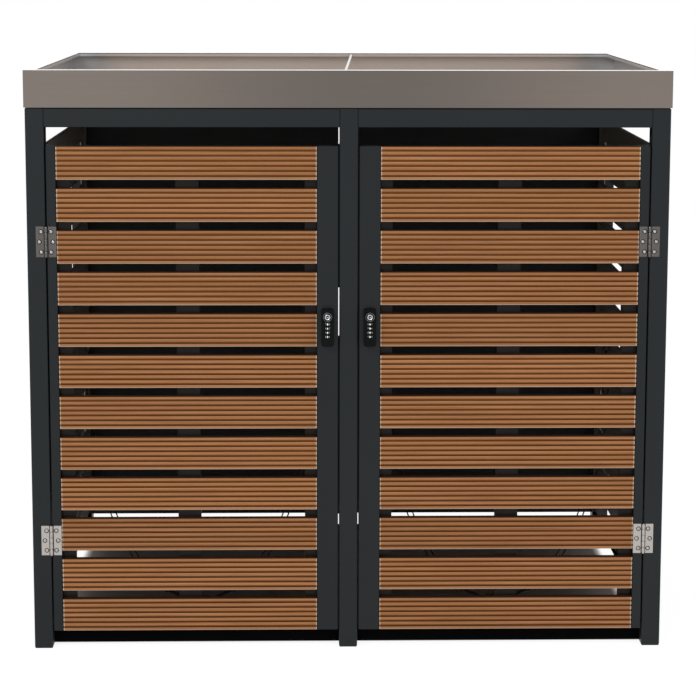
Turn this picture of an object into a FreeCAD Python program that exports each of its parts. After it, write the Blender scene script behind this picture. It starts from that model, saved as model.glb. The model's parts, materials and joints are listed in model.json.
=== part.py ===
import FreeCAD, Part
import math
import os
import re
import Sketcher

# Wheelie bin store: a square tube frame with two bays, two slatted doors on
# butt hinges, slotted side walls, sheet backs and a sheet planter on top.
# Millimetres, +Z up, the doors face -Y, and the origin is on the ground under
# the middle of the whole store's box, from the knobs to the planter's back.

Vector = FreeCAD.Vector

# Driving dimensions, one spreadsheet cell each
DIMENSIONS = {
    # Frame of square tube
    "frame_width": 1380,
    "frame_depth": 846,
    "frame_height": 1190,
    "post_size": 40,
    "tube_wall": 2,
    "tube_corner": 1.8,
    "rail_height": 40,
    "rear_middle_width": 19,
    "foot_height": 3,
    "foot_inset": 1,
    "plug_length": 20,
    "plug_clearance": 0.2,
    "sill_leg": 30,
    "sill_sheet": 3,
    "sill_setback": 33,
    "rear_sill_rise": 47,
    # Side walls and backs of folded sheet
    "panel_sheet": 2,
    "panel_bottom": 80,
    "side_head_gap": 40,
    "side_panel_reach": 10,
    "side_lip": 15,
    "slot_margin": 50,
    "slot_web": 50,
    "slot_rise": 18,
    "slot_height": 15,
    "back_bottom": 80,
    "back_setback": 6,
    "back_fold": 20,
    "back_gap": 3,
    "seam_plate_width": 40,
    "seam_plate_sheet": 2,
    "seam_plate_top": 550,
    # Planter
    "tray_height": 80,
    "tray_overhang": 2,
    "tray_sheet": 1.5,
    "tray_flange": 25,
    "tray_lip": 9,
    "drain_radius": 8,
    "drain_count": 2,
    "drain_margin": 340,
    "seal_thickness": 2,
    "seal_inset": 2,
    "seal_width": 36,
    "rod_diameter": 6,
    "rod_drop": 5,
    "rod_front_offset": -8,
    "rod_rear_offset": 20,
    # Doors
    "door_gap": 2.5,
    "door_bottom": 40,
    "door_depth": 30,
    "stile_wall": 2,
    "hinge_stile": 21.5,
    "lock_stile": 46.5,
    "centre_stile": 50,
    "cross_rail": 25,
    "flange_sheet": 3,
    "hinge_flange": 30,
    "lock_flange": 26,
    "cap_depth": 8,
    # Slats
    "slat_count": 12,
    "slat_height": 72,
    "door_head_gap": 40.3,
    "slat_thickness": 15,
    "flute_count": 6,
    "flute_width": 4.4,
    "flute_floor": 2.2,
    "flute_depth": 2.4,
    "slat_arris": 1.2,
    # Butt hinges
    "hinge_height": 66,
    "hinge_leaf": 22,
    "leaf_sheet": 2,
    "knuckle_radius": 3.5,
    "knuckle_gap": 0.3,
    "leaf_gap": 0.4,
    "pin_radius": 1.5,
    "running_clearance": 0.05,
    "pin_head": 0.8,
    "upper_hinge": 904,
    "lower_hinge": 245,
    "screw_reach": 10.5,
    "screw_stagger": 4,
    "screw_spacing": 22,
    "screw_head_radius": 4,
    "screw_neck_radius": 2,
    # Locks
    "lock_level": 718,
    "case_width": 26,
    "case_height": 81,
    "case_thickness": 18,
    "case_corner": 5,
    "case_front": 2,
    "window_width": 14.5,
    "cavity_width": 19,
    "dial_top": 8.7,
    "dial_pitch": 9.2,
    "dial_thickness": 7.4,
    "dial_radius": 8.5,
    "dial_proud": 0.6,
    "dial_shaft_radius": 1.5,
    "knob_level": 25,
    "knob_radius": 10,
    "knob_thickness": 4,
    "knob_gap": 0.2,
    "boss_radius": 6.5,
    "boss_height": 3,
    "key_slot_width": 1.4,
    "key_slot_length": 5,
    "barrel_radius": 8,
    "barrel_fit": 0.25,
    "barrel_tail": 10.5,
    "shaft_radius": 4,
    "nut_size": 22,
    "nut_height": 4,
    "cam_clearance": 1.5,
    "cam_sheet": 3,
    "cam_width": 14,
    "cam_length": 36,
    # Chains behind the doors
    "chain_level": 705,
    "chain_low": 96,
    "chain_lock_end": 88,
    "chain_hinge_end": 566,
    "chain_bend": 500,
    "chain_stand_off": 10.5,
    "link_pitch": 50,
    "link_wire": 3,
    "link_width": 14.5,
    "link_play": 0.4,
    "eye_radius": 7.5,
    "eye_collar": 1.5,
}

doc = FreeCAD.newDocument("wheelie_bin_store")
sheet = doc.addObject("Spreadsheet::Sheet", "Sizes")
for row, (alias, number) in enumerate(DIMENSIONS.items(), start=1):
    sheet.set(f"A{row}", alias)
    sheet.set(f"B{row}", str(number))
    sheet.setAlias(f"B{row}", alias)
doc.recompute()

# Places that several pieces share, as formulas of the dimensions
HALF = "frame_width / 2"
INSIDE = "(frame_width / 2 - post_size)"
MIDDLE = "((case_thickness + knob_gap + knob_thickness + boss_height - tray_overhang) / 2)"
FRONT = f"({MIDDLE} - frame_depth / 2)"
BACK = f"({MIDDLE} + frame_depth / 2)"
RAIL_UNDERSIDE = "(frame_height - rail_height)"
TRAY_FLOOR = "(frame_height + seal_thickness)"
TRAY_TOP = "(frame_height + seal_thickness + tray_height)"
TRAY_HALF_WIDTH = "(frame_width / 2 + tray_overhang)"
TRAY_FRONT = f"({FRONT} - tray_overhang)"
TRAY_BACK = f"({BACK} + tray_overhang)"
SIDE_PANEL_TOP = "(frame_height - rail_height - side_head_gap)"
DOOR_TOP = "(frame_height - rail_height - door_head_gap)"
SLAT_PITCH = f"(({DOOR_TOP} - door_bottom - slat_height) / (slat_count - 1))"
DOOR_HINGE_EDGE = "(frame_width / 2 - post_size - door_gap)"
DOOR_LOCK_EDGE = "(post_size / 2 + door_gap)"
SLAT_OUTER = "(frame_width / 2 - post_size - door_gap - hinge_stile)"
SLAT_INNER = "(post_size / 2 + door_gap + lock_stile)"
SLAT_BACK = f"({FRONT} + slat_thickness)"
DOOR_BACK = f"({FRONT} + door_depth)"
PIN_REACH = "(frame_width / 2 - post_size - door_gap / 2)"
LOCK_REACH = "(post_size / 2 + door_gap + lock_stile / 2)"
CAM_FRONT = "(-post_size - cam_clearance)"
DIAL_BLOCK_TOP = "(dial_top + dial_pitch / 2)"
DIAL_BLOCK_BOTTOM = "(dial_top - 3.5 * dial_pitch)"

SIDES = {"left": -1, "right": 1}
KNOB_SIDES = 24
LOCK_SIDES = 16
KNUCKLE_SIDES = 8
DRAIN_SIDES = 12
DIAL_SIDES = 10
EYE_SIDES = 8
SCREW_SIDES = 6
WIRE_SIDES = 4
ALIAS = re.compile(r"[a-z][a-z0-9_]*")
nodes = []


def tied(text):
    """The same formula with each dimension's name pointing at its cell."""
    return ALIAS.sub(lambda word: f"Sizes.{word[0]}" if word[0] in DIMENSIONS else word[0], text)


def value(text):
    """What a formula of the dimensions comes to."""
    return float(sheet.evalExpression(text))


def bind(item, **formulas):
    """Bind properties to formulas; a double underscore stands for a dot."""
    for name, text in formulas.items():
        item.setExpression(name.replace("__", "."), tied(text))


def place(item, x="0", y="0", z="0"):
    """Bind where an object stands."""
    for axis, text in (("x", x), ("y", y), ("z", z)):
        item.setExpression(f"Placement.Base.{axis}", tied(text))


def keep(item, label):
    """Name a finished sub-part."""
    item.Label = label
    nodes.append(item)
    return item


def across(side, near, far):
    """Two X formulas in rising order, for distances from the middle towards one side."""
    if side > 0:
        return near, far
    return f"-({far})", f"-({near})"


def rectangle(x0, y0, x1, y1):
    return [(x0, y0), (x1, y0), (x1, y1), (x0, y1)]


def inset(x0, y0, x1, y1, wall):
    return rectangle(f"{x0} + ({wall})", f"{y0} + ({wall})", f"{x1} - ({wall})", f"{y1} - ({wall})")


def eased(x0, y0, x1, y1, corner):
    """Rectangle with its four corners taken off."""
    return [
        (f"{x0} + {corner}", y0), (f"{x1} - {corner}", y0),
        (x1, f"{y0} + {corner}"), (x1, f"{y1} - {corner}"),
        (f"{x1} - {corner}", y1), (f"{x0} + {corner}", y1),
        (x0, f"{y1} - {corner}"), (x0, f"{y0} + {corner}"),
    ]


def round_outline(x, y, radius, sides):
    """Even-sided round whose corners lie on the radius."""
    angles = [360 * number / sides for number in range(sides)]
    return [
        (f"{x} + ({radius}) * cos({angle} deg)", f"{y} + ({radius}) * sin({angle} deg)")
        for angle in angles
    ]


def round_hole(x, y, radius, sides):
    """Even-sided round whose flats lie on the radius, so that a round of it turns inside."""
    return round_outline(x, y, f"({radius}) / cos({180 / sides} deg)", sides)


# Sketches and the features made from them

def new_body(name):
    return doc.addObject("PartDesign::Body", name)


def sketch_on(body, plane, offset):
    sketch = body.newObject("Sketcher::SketchObject", f"{body.Name}_profile")
    support = next(item for item in body.Origin.OriginFeatures if item.Role == f"{plane}_Plane")
    sketch.AttachmentSupport = [(support, "")]
    sketch.MapMode = "FlatFace"
    sketch.setExpression("AttachmentOffset.Base.z", tied(offset))
    return sketch


def draw_outline(sketch, corners):
    """Closed run of lines, each corner held by two bound distances from the origin."""
    first = sketch.GeometryCount
    count = len(corners)
    points = [Vector(value(x), value(y), 0) for x, y in corners]
    lines = [Part.LineSegment(points[i], points[(i + 1) % count]) for i in range(count)]
    sketch.addGeometry(lines, False)
    joins = [Sketcher.Constraint("Coincident", first + i, 2, first + (i + 1) % count, 1) for i in range(count)]
    sketch.addConstraint(joins)
    for i, formulas in enumerate(corners):
        for kind, text in zip(("DistanceX", "DistanceY"), formulas):
            rule = sketch.addConstraint(Sketcher.Constraint(kind, -1, 1, first + i, 1, value(text)))
            sketch.setExpression(f"Constraints[{rule}]", tied(text))


def draw_circle(sketch, x, y, radius):
    """Circle held by its centre and radius."""
    centre = Vector(value(x), value(y), 0)
    ring = sketch.addGeometry(Part.Circle(centre, Vector(0, 0, 1), value(radius)), False)
    for kind, text in (("DistanceX", x), ("DistanceY", y)):
        rule = sketch.addConstraint(Sketcher.Constraint(kind, -1, 1, ring, 3, value(text)))
        sketch.setExpression(f"Constraints[{rule}]", tied(text))
    rule = sketch.addConstraint(Sketcher.Constraint("Radius", ring, value(radius)))
    sketch.setExpression(f"Constraints[{rule}]", tied(radius))


def draw(sketch, outlines, circles):
    for corners in outlines:
        draw_outline(sketch, corners)
    for x, y, radius in circles:
        draw_circle(sketch, x, y, radius)


def pad(body, plane, start, end, outlines=(), circles=()):
    """Material from start to end along the plane's world axis (X, Y or Z)."""
    offset = f"-({end})" if plane == "XZ" else start
    sketch = sketch_on(body, plane, offset)
    draw(sketch, outlines, circles)
    feature = body.newObject("PartDesign::Pad", f"{body.Name}_pad")
    feature.Profile = sketch
    bind(feature, Length=f"({end}) - ({start})")
    body.Tip = feature
    return feature


def pocket(body, plane, start, end, outlines=(), circles=()):
    """A cut from start to end along the plane's world axis (X, Y or Z)."""
    offset = f"-({start})" if plane == "XZ" else end
    sketch = sketch_on(body, plane, offset)
    draw(sketch, outlines, circles)
    feature = body.newObject("PartDesign::Pocket", f"{body.Name}_pocket")
    feature.Profile = sketch
    bind(feature, Length=f"({end}) - ({start})")
    body.Tip = feature
    return feature


def repeat(body, feature, axis, spacing, count):
    """A row of the feature along one of the body's own axes."""
    row = body.newObject("PartDesign::LinearPattern", f"{body.Name}_row")
    row.Originals = [feature]
    line = next(item for item in body.Origin.OriginFeatures if item.Role == f"{axis}_Axis")
    row.Direction = (line, [""])
    row.Mode = "Spacing"
    bind(row, Offset=spacing, Occurrences=count)
    body.Tip = row
    return row


def primitive(kind, name, x="0", y="0", z="0", **formulas):
    item = doc.addObject(kind, name)
    bind(item, **formulas)
    place(item, x, y, z)
    return item


def prism(name, sides, x="0", y="0", z="0", **formulas):
    """Upright bar with that many flat sides."""
    item = primitive("Part::Prism", name, x, y, z, **formulas)
    item.Polygon = sides
    return item


def facing_front(item):
    """Turn an object so that what was its own +Z points at -Y, out of the doors."""
    item.Placement = FreeCAD.Placement(item.Placement.Base, FreeCAD.Rotation(Vector(1, 0, 0), 90))
    return item


def fuse(name, pieces):
    item = doc.addObject("Part::MultiFuse", name)
    item.Shapes = pieces
    item.Refine = True
    return item


def cut(name, base, tool):
    item = doc.addObject("Part::Cut", name)
    item.Base = base
    item.Tool = tool
    return item


def group(name, pieces):
    item = doc.addObject("Part::Compound", name)
    item.Links = pieces
    return item


# Frame

def upright(label, x0, x1, y0, y1, top):
    """Square tube standing on its foot."""
    body = new_body(label)
    walls = [eased(x0, y0, x1, y1, "tube_corner"), inset(x0, y0, x1, y1, "tube_wall")]
    pad(body, "XY", "foot_height", top, walls)
    return keep(body, label)


def foot(name, x0, x1, y0, y1):
    """Plastic end plug: a pad under the tube and a stub inside it."""
    body = new_body(name)
    pad(body, "XY", "0", "foot_height", [inset(x0, y0, x1, y1, "foot_inset")])
    stub = inset(x0, y0, x1, y1, "tube_wall + plug_clearance")
    pad(body, "XY", "foot_height", "foot_height + plug_length", [stub])
    return body


def posts():
    feet = []
    front = (FRONT, f"{FRONT} + post_size")
    rear = (f"{BACK} - post_size", BACK)
    columns = {
        "left": ("-frame_width / 2", "-frame_width / 2 + post_size"),
        "middle": ("-post_size / 2", "post_size / 2"),
        "right": ("frame_width / 2 - post_size", "frame_width / 2"),
    }
    for place_name, (x0, x1) in columns.items():
        upright(f"front_post_{place_name}", x0, x1, *front, "frame_height")
        feet.append(foot(f"front_foot_{place_name}", x0, x1, *front))
        top = "frame_height"
        if place_name == "middle":
            x0, x1 = "-rear_middle_width / 2", "rear_middle_width / 2"
            top = RAIL_UNDERSIDE
        upright(f"rear_post_{place_name}", x0, x1, *rear, top)
        feet.append(foot(f"rear_foot_{place_name}", x0, x1, *rear))
    keep(group("feet", feet), "foot_plugs")


def rail(label, plane, start, end, near, far):
    """Square tube lying under the planter along X or Y."""
    body = new_body(label)
    section = (near, RAIL_UNDERSIDE, far, "frame_height")
    pad(body, plane, start, end, [eased(*section, "tube_corner"), inset(*section, "tube_wall")])
    keep(body, label)


def rails():
    span = (f"{FRONT} + post_size", f"{BACK} - post_size")
    for name, side in SIDES.items():
        near, far = across(side, "post_size / 2", INSIDE)
        rail(f"front_top_rail_{name}", "YZ", near, far, FRONT, f"{FRONT} + post_size")
        near, far = across(side, INSIDE, HALF)
        rail(f"side_top_rail_{name}", "XZ", *span, near, far)
    rail("rear_top_rail", "YZ", f"-{INSIDE}", INSIDE, f"{BACK} - post_size", BACK)
    rail("middle_top_rail", "XZ", *span, "-post_size / 2", "post_size / 2")


def sills():
    """Angles between the posts' feet, the upright leg towards the doors at the front
    and towards the back at the rear."""
    y0 = f"{FRONT} + sill_setback"
    front = [
        (y0, "foot_height"),
        (f"{y0} + sill_leg", "foot_height"),
        (f"{y0} + sill_leg", "foot_height + sill_sheet"),
        (f"{y0} + sill_sheet", "foot_height + sill_sheet"),
        (f"{y0} + sill_sheet", "foot_height + sill_leg"),
        (y0, "foot_height + sill_leg"),
    ]
    y1 = f"{BACK} - sill_setback"
    rear = [
        (y1, "foot_height"),
        (y1, "foot_height + rear_sill_rise"),
        (f"{y1} - sill_sheet", "foot_height + rear_sill_rise"),
        (f"{y1} - sill_sheet", "foot_height + sill_sheet"),
        (f"{y1} - sill_leg", "foot_height + sill_sheet"),
        (f"{y1} - sill_leg", "foot_height"),
    ]
    for name, side in SIDES.items():
        body = new_body(f"sill_angle_{name}")
        pad(body, "YZ", *across(side, "post_size / 2", INSIDE), [front])
        keep(body, f"sill_angle_{name}")
        body = new_body(f"rear_sill_{name}")
        pad(body, "YZ", *across(side, "rear_middle_width / 2", INSIDE), [rear])
        keep(body, f"rear_sill_{name}")


# Walls

def side_panel(name, side):
    """Sheet folded inwards on all four edges, with a lip on the top fold and slots
    a little above each gap between the slats."""
    label = f"side_panel_{name}"
    body = new_body(label)
    y0, y1 = f"{FRONT} + post_size", f"{BACK} - post_size"
    edge = (y0, "panel_bottom", y1, SIDE_PANEL_TOP)
    web = f"{INSIDE} + side_panel_reach - panel_sheet"
    pad(body, "YZ", *across(side, INSIDE, f"{INSIDE} + side_panel_reach"), [rectangle(*edge)])
    pocket(body, "YZ", *across(side, INSIDE, web), [inset(*edge, "panel_sheet")])
    lip = rectangle(y0, f"{SIDE_PANEL_TOP} - side_lip", y1, SIDE_PANEL_TOP)
    pad(body, "YZ", *across(side, INSIDE, f"{INSIDE} + panel_sheet"), [lip])
    z0 = "(door_bottom + slat_height + slot_rise)"
    z1 = f"{z0} + slot_height"
    slots = [
        rectangle(f"{y0} + slot_margin", z0, f"{MIDDLE} - slot_web / 2", z1),
        rectangle(f"{MIDDLE} + slot_web / 2", z0, f"{y1} - slot_margin", z1),
    ]
    slot = pocket(body, "YZ", *across(side, web, f"{web} + panel_sheet"), slots)
    repeat(body, slot, "Z", SLAT_PITCH, "slat_count - 1")
    keep(body, label)


def back_panel(name, side):
    """Sheet with its four edges folded to the rear, fixed to the post and the rail."""
    label = f"back_panel_{name}"
    body = new_body(label)
    near, far = across(side, "rear_middle_width / 2 + back_gap", INSIDE)
    edge = (near, "back_bottom", far, RAIL_UNDERSIDE)
    y0 = f"{BACK} - post_size + back_setback"
    pad(body, "XZ", y0, f"{y0} + back_fold", [rectangle(*edge)])
    pocket(body, "XZ", f"{y0} + panel_sheet", f"{y0} + back_fold", [inset(*edge, "panel_sheet")])
    keep(body, label)


def seam_plate():
    """Flat plate on the rear middle post that closes the lower part of the seams beside it."""
    body = new_body("back_seam_plate")
    y1 = f"{BACK} - post_size"
    outline = rectangle("-seam_plate_width / 2", "back_bottom", "seam_plate_width / 2", "seam_plate_top")
    pad(body, "XZ", f"{y1} - seam_plate_sheet", y1, [outline])
    keep(body, "back_seam_plate")


# Planter

def planter():
    """Open tray with a flange turned inwards round its rim and a lip turned down from it."""
    body = new_body("planter_tray")
    x = TRAY_HALF_WIDTH
    outer = (f"-{x}", TRAY_FRONT, x, TRAY_BACK)
    pad(body, "XY", TRAY_FLOOR, TRAY_TOP, [rectangle(*outer)])
    pocket(body, "XY", f"{TRAY_FLOOR} + tray_sheet", TRAY_TOP, [inset(*outer, "tray_sheet")])
    mouth = inset(*outer, "tray_flange")
    pad(body, "XY", f"{TRAY_TOP} - tray_sheet", TRAY_TOP, [rectangle(*outer), mouth])
    fold = inset(*outer, "(tray_flange - tray_sheet)")
    pad(body, "XY", f"{TRAY_TOP} - tray_lip", f"{TRAY_TOP} - tray_sheet", [fold, mouth])
    first = f"-{x} + drain_margin"
    holes = [
        round_outline(first, f"{MIDDLE} {way} frame_depth / 4", "drain_radius", DRAIN_SIDES)
        for way in "-+"
    ]
    drain = pocket(body, "XY", TRAY_FLOOR, f"{TRAY_FLOOR} + tray_sheet", holes)
    repeat(body, drain, "X", f"2 * ({x} - drain_margin) / (drain_count - 1)", "drain_count")
    keep(body, "planter_tray")


def tie_rod():
    """Round bar welded across the mouth from lip to lip, a little out of square."""
    body = new_body("tray_tie_rod")
    near, far = f"({TRAY_FRONT} + tray_flange)", f"({TRAY_BACK} - tray_flange)"
    rod = pad(
        body, "XZ", near, far, (),
        [("rod_rear_offset", f"{TRAY_TOP} - rod_drop", "rod_diameter / 2")],
    )
    rod.UseCustomVector = True
    rod.AlongSketchNormal = True
    bind(
        rod,
        Direction__x="rod_front_offset - rod_rear_offset",
        Direction__y=f"{near} - {far}",
        Direction__z="0",
    )
    keep(body, "tray_tie_rod")


def seal():
    """Strips of foam tape between the frame and the tray."""
    body = new_body("tray_seal")
    x0, y0, y1 = f"{HALF} - seal_inset", f"{FRONT} + seal_inset", f"{BACK} - seal_inset"
    windows = [
        rectangle(x_low, f"{y0} + seal_width", x_high, f"{y1} - seal_width")
        for x_low, x_high in (
            across(side, "seal_width / 2", f"{x0} - seal_width") for side in SIDES.values()
        )
    ]
    outer = rectangle(f"-({x0})", y0, x0, y1)
    pad(body, "XY", "frame_height", TRAY_FLOOR, [outer] + windows)
    keep(body, "tray_seal")


# Doors

def door_frame(name, side):
    """Welded leaf: two tube stiles with flanges behind the slats, a flat bar stile in the
    middle, and two flat cross rails."""
    label = f"door_frame_{name}"
    body = new_body(label)
    slat_back, back = SLAT_BACK, DOOR_BACK
    near, far = across(side, SLAT_INNER, SLAT_OUTER)
    pad(body, "XY", "door_bottom", "door_bottom + cross_rail", [rectangle(near, slat_back, far, back)])

    def stile(edge, seat, flange_end, hollow_from, hollow_to):
        """Tube outline with its flange drawn in one, and the hollow inside the tube."""
        to_seat = "tube_corner" if edge == DOOR_LOCK_EDGE else "-tube_corner"
        points = [
            (f"{edge} + {to_seat}", FRONT), (f"{seat} - {to_seat}", FRONT),
            (seat, f"{FRONT} + tube_corner"), (seat, slat_back), (flange_end, slat_back),
            (flange_end, f"{slat_back} + flange_sheet"), (seat, f"{slat_back} + flange_sheet"),
            (seat, back), (f"{edge} + {to_seat}", back),
            (edge, f"{back} - tube_corner"), (edge, f"{FRONT} + tube_corner"),
        ]
        outline = [(x if side > 0 else f"-({x})", y) for x, y in points]
        x0, x1 = across(side, hollow_from, hollow_to)
        hollow = rectangle(x0, f"{FRONT} + stile_wall", x1, f"{back} - stile_wall")
        pad(body, "XY", "door_bottom", DOOR_TOP, [outline, hollow])

    stile(
        DOOR_LOCK_EDGE, SLAT_INNER, f"{SLAT_INNER} + lock_flange",
        f"{DOOR_LOCK_EDGE} + stile_wall", f"{SLAT_INNER} - stile_wall",
    )
    stile(
        DOOR_HINGE_EDGE, SLAT_OUTER, f"{SLAT_OUTER} - hinge_flange",
        f"{SLAT_OUTER} + stile_wall", f"{DOOR_HINGE_EDGE} - stile_wall",
    )
    middle = f"({SLAT_INNER} + {SLAT_OUTER}) / 2"
    x0, x1 = across(side, f"{middle} - centre_stile / 2", f"{middle} + centre_stile / 2")
    pad(body, "XY", "door_bottom", DOOR_TOP, [rectangle(x0, slat_back, x1, back)])
    pad(body, "XY", f"{DOOR_TOP} - cross_rail", DOOR_TOP, [rectangle(near, slat_back, far, back)])
    lock_x = LOCK_REACH if side > 0 else f"-{LOCK_REACH}"
    hole = round_hole(lock_x, "lock_level + knob_level", "barrel_radius + barrel_fit", LOCK_SIDES)
    pocket(body, "XZ", FRONT, back, [hole])
    keep(body, label)


def end_caps(name, side):
    """Plastic plugs in both ends of both stile tubes."""
    hollows = {
        "lock": (f"{DOOR_LOCK_EDGE} + stile_wall", f"{SLAT_INNER} - stile_wall"),
        "hinge": (f"{SLAT_OUTER} + stile_wall", f"{DOOR_HINGE_EDGE} - stile_wall"),
    }
    ends = {
        "bottom": ("door_bottom", "door_bottom + cap_depth"),
        "top": (f"{DOOR_TOP} - cap_depth", DOOR_TOP),
    }
    caps = []
    for stile_name, (near, far) in hollows.items():
        x0, x1 = across(side, near, far)
        for end_name, (z0, z1) in ends.items():
            body = new_body(f"cap_{name}_{stile_name}_{end_name}")
            section = rectangle(x0, f"{FRONT} + stile_wall", x1, f"{DOOR_BACK} - stile_wall")
            pad(body, "XY", z0, z1, [section])
            caps.append(body)
    keep(group(f"caps_{name}", caps), f"door_end_caps_{name}")


def slat_section():
    """Board outline across its length: flutes along the face, arrises taken off the edges."""
    z0 = "door_bottom"
    pitch = "((slat_height + flute_width) / (flute_count + 1))"
    face, floor = FRONT, f"{FRONT} + flute_depth"
    slope = "((flute_width - flute_floor) / 2)"
    corners = [(SLAT_BACK, f"{z0}"), (f"{face} + slat_arris", z0), (face, f"{z0} + slat_arris")]
    for number in range(1, int(value("flute_count")) + 1):
        foot_of = f"{z0} + {number} * {pitch} - flute_width"
        corners += [
            (face, foot_of),
            (floor, f"{foot_of} + {slope}"),
            (floor, f"{foot_of} + {slope} + flute_floor"),
            (face, f"{foot_of} + flute_width"),
        ]
    corners += [
        (face, f"{z0} + slat_height - slat_arris"),
        (f"{face} + slat_arris", f"{z0} + slat_height"),
        (SLAT_BACK, f"{z0} + slat_height"),
    ]
    return corners


def slats(name, side):
    """Twelve fluted boards in one column."""
    body = new_body(f"door_slats_{name}")
    body.AllowCompound = True
    board = pad(body, "YZ", *across(side, SLAT_INNER, SLAT_OUTER), [slat_section()])
    repeat(body, board, "Z", SLAT_PITCH, "slat_count")
    keep(body, f"door_slats_{name}")


# Hinges

def countersunk(name, x, z):
    """Screw head as thick as the leaf, small end against the tube's face."""
    rims = []
    ends = (("neck", "screw_neck_radius", FRONT), ("rim", "screw_head_radius", f"{FRONT} - leaf_sheet"))
    for tag, radius, y in ends:
        rim = primitive("Part::RegularPolygon", f"{name}_{tag}", x, y, z, Circumradius=radius)
        rim.Polygon = SCREW_SIDES
        rims.append(facing_front(rim))
    head = doc.addObject("Part::Loft", name)
    head.Sections = rims
    head.Solid = True
    head.Ruled = True
    return head


def leaf(name, side, level, outwards, own, bore):
    """Half a butt hinge and its screws: a plate with its own knuckles of the five, bored
    for the pin. outwards is 1 for the leaf on the post and -1 for the leaf on the door."""
    way = side * outwards
    pin_x = f"{side} * {PIN_REACH}"
    z0 = f"{level} - hinge_height / 2"
    knuckle = "((hinge_height - 4 * knuckle_gap) / 5)"

    def strip(tag, near, far, low, high):
        x0, _ = across(way, near, far)
        return primitive(
            "Part::Box", f"{name}_{tag}", f"{pin_x} + ({x0})", f"{FRONT} - leaf_sheet", low,
            Length=f"({far}) - ({near})", Width="leaf_sheet", Height=f"({high}) - ({low})",
        )

    pieces = [strip("plate", "knuckle_radius + leaf_gap", "hinge_leaf", z0, f"{z0} + hinge_height")]
    for number in own:
        low = f"{z0} + {number} * ({knuckle} + knuckle_gap)"
        pieces.append(strip(f"arm_{number}", "0", "knuckle_radius + leaf_gap", low, f"{low} + {knuckle}"))
        pieces.append(prism(
            f"{name}_knuckle_{number}", KNUCKLE_SIDES, pin_x, f"{FRONT} - knuckle_radius", low,
            Circumradius="knuckle_radius", Height=knuckle,
        ))
    hole = prism(
        f"{name}_bore", KNUCKLE_SIDES, pin_x, f"{FRONT} - knuckle_radius", z0,
        Circumradius=f"({bore}) / cos({180 / KNUCKLE_SIDES} deg)", Height="hinge_height",
    )
    screws = []
    for number, stagger in ((-1, "0"), (0, "screw_stagger"), (1, "0")):
        x = f"{pin_x} + {way} * (screw_reach + {stagger})"
        screws.append(countersunk(f"{name}_screw_{number + 1}", x, f"{level} + {number} * screw_spacing"))
    solid = fuse(f"{name}_solid", pieces)
    return cut(name, solid, group(f"{name}_holes", [hole] + screws)), screws


def hinges():
    levels = {"upper": "upper_hinge", "lower": "lower_hinge"}
    post_leaves, post_screws, pins = [], [], []
    for name, side in SIDES.items():
        door_leaves, door_screws = [], []
        for height, level in levels.items():
            tag = f"{name}_{height}"
            plate, screws = leaf(f"post_leaf_{tag}", side, level, 1, (0, 2, 4), "pin_radius")
            post_leaves.append(plate)
            post_screws += screws
            bore = "pin_radius + running_clearance"
            plate, screws = leaf(f"door_leaf_{tag}", side, level, -1, (1, 3), bore)
            door_leaves.append(plate)
            door_screws += screws
            pins.append(primitive(
                "Part::Cylinder", f"pin_{tag}", f"{side} * {PIN_REACH}", f"{FRONT} - knuckle_radius",
                f"{level} - hinge_height / 2 - pin_head",
                Radius="pin_radius", Height="hinge_height + 2 * pin_head",
            ))
        keep(group(f"door_leaves_{name}", door_leaves), f"hinge_door_leaves_{name}")
        keep(group(f"door_screws_{name}", door_screws), f"hinge_door_screws_{name}")
    keep(group("post_leaves", post_leaves), "hinge_post_leaves")
    keep(group("post_screws", post_screws), "hinge_post_screws")
    keep(group("pins", pins), "hinge_pins")


# Locks. Each piece is drawn seen from the front: its own X is across, its own Y is up and
# its own Z comes out of the door from the stile's face.

def stand_in_lock(item, side, up="0"):
    facing_front(item)
    place(item, f"{side} * {LOCK_REACH}", FRONT, f"lock_level + {up}")
    return item


def lock_case(name, side):
    """Rounded housing with a window over the four dials, and a barrel through the stile."""
    label = f"lock_case_{name}"
    body = new_body(label)
    x, y = "case_width / 2", "case_height / 2"
    corner = "case_corner"
    plan = [
        (f"-{x} + {corner}", f"-{y}"), (f"{x} - {corner}", f"-{y}"), (x, f"-{y} + {corner}"),
        (x, f"{y} - {corner}"), (f"{x} - {corner}", y), (f"-{x} + {corner}", y),
        (f"-{x}", f"{y} - {corner}"), (f"-{x}", f"-{y} + {corner}"),
    ]
    pad(body, "XY", "0", "case_thickness", [plan])
    cavity = rectangle("-cavity_width / 2", DIAL_BLOCK_BOTTOM, "cavity_width / 2", DIAL_BLOCK_TOP)
    pocket(body, "XY", "0", "case_thickness - case_front", [cavity])
    window = rectangle("-window_width / 2", DIAL_BLOCK_BOTTOM, "window_width / 2", DIAL_BLOCK_TOP)
    pocket(body, "XY", "case_thickness - case_front", "case_thickness", [window])
    tail = "-door_depth - barrel_tail"
    pad(body, "XY", tail, "0", [round_outline("0", "knob_level", "barrel_radius", LOCK_SIDES)])
    bore = round_hole("0", "knob_level", "shaft_radius + running_clearance", LOCK_SIDES)
    pocket(body, "XY", tail, "case_thickness", [bore])
    keep(stand_in_lock(body, side), label)


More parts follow.
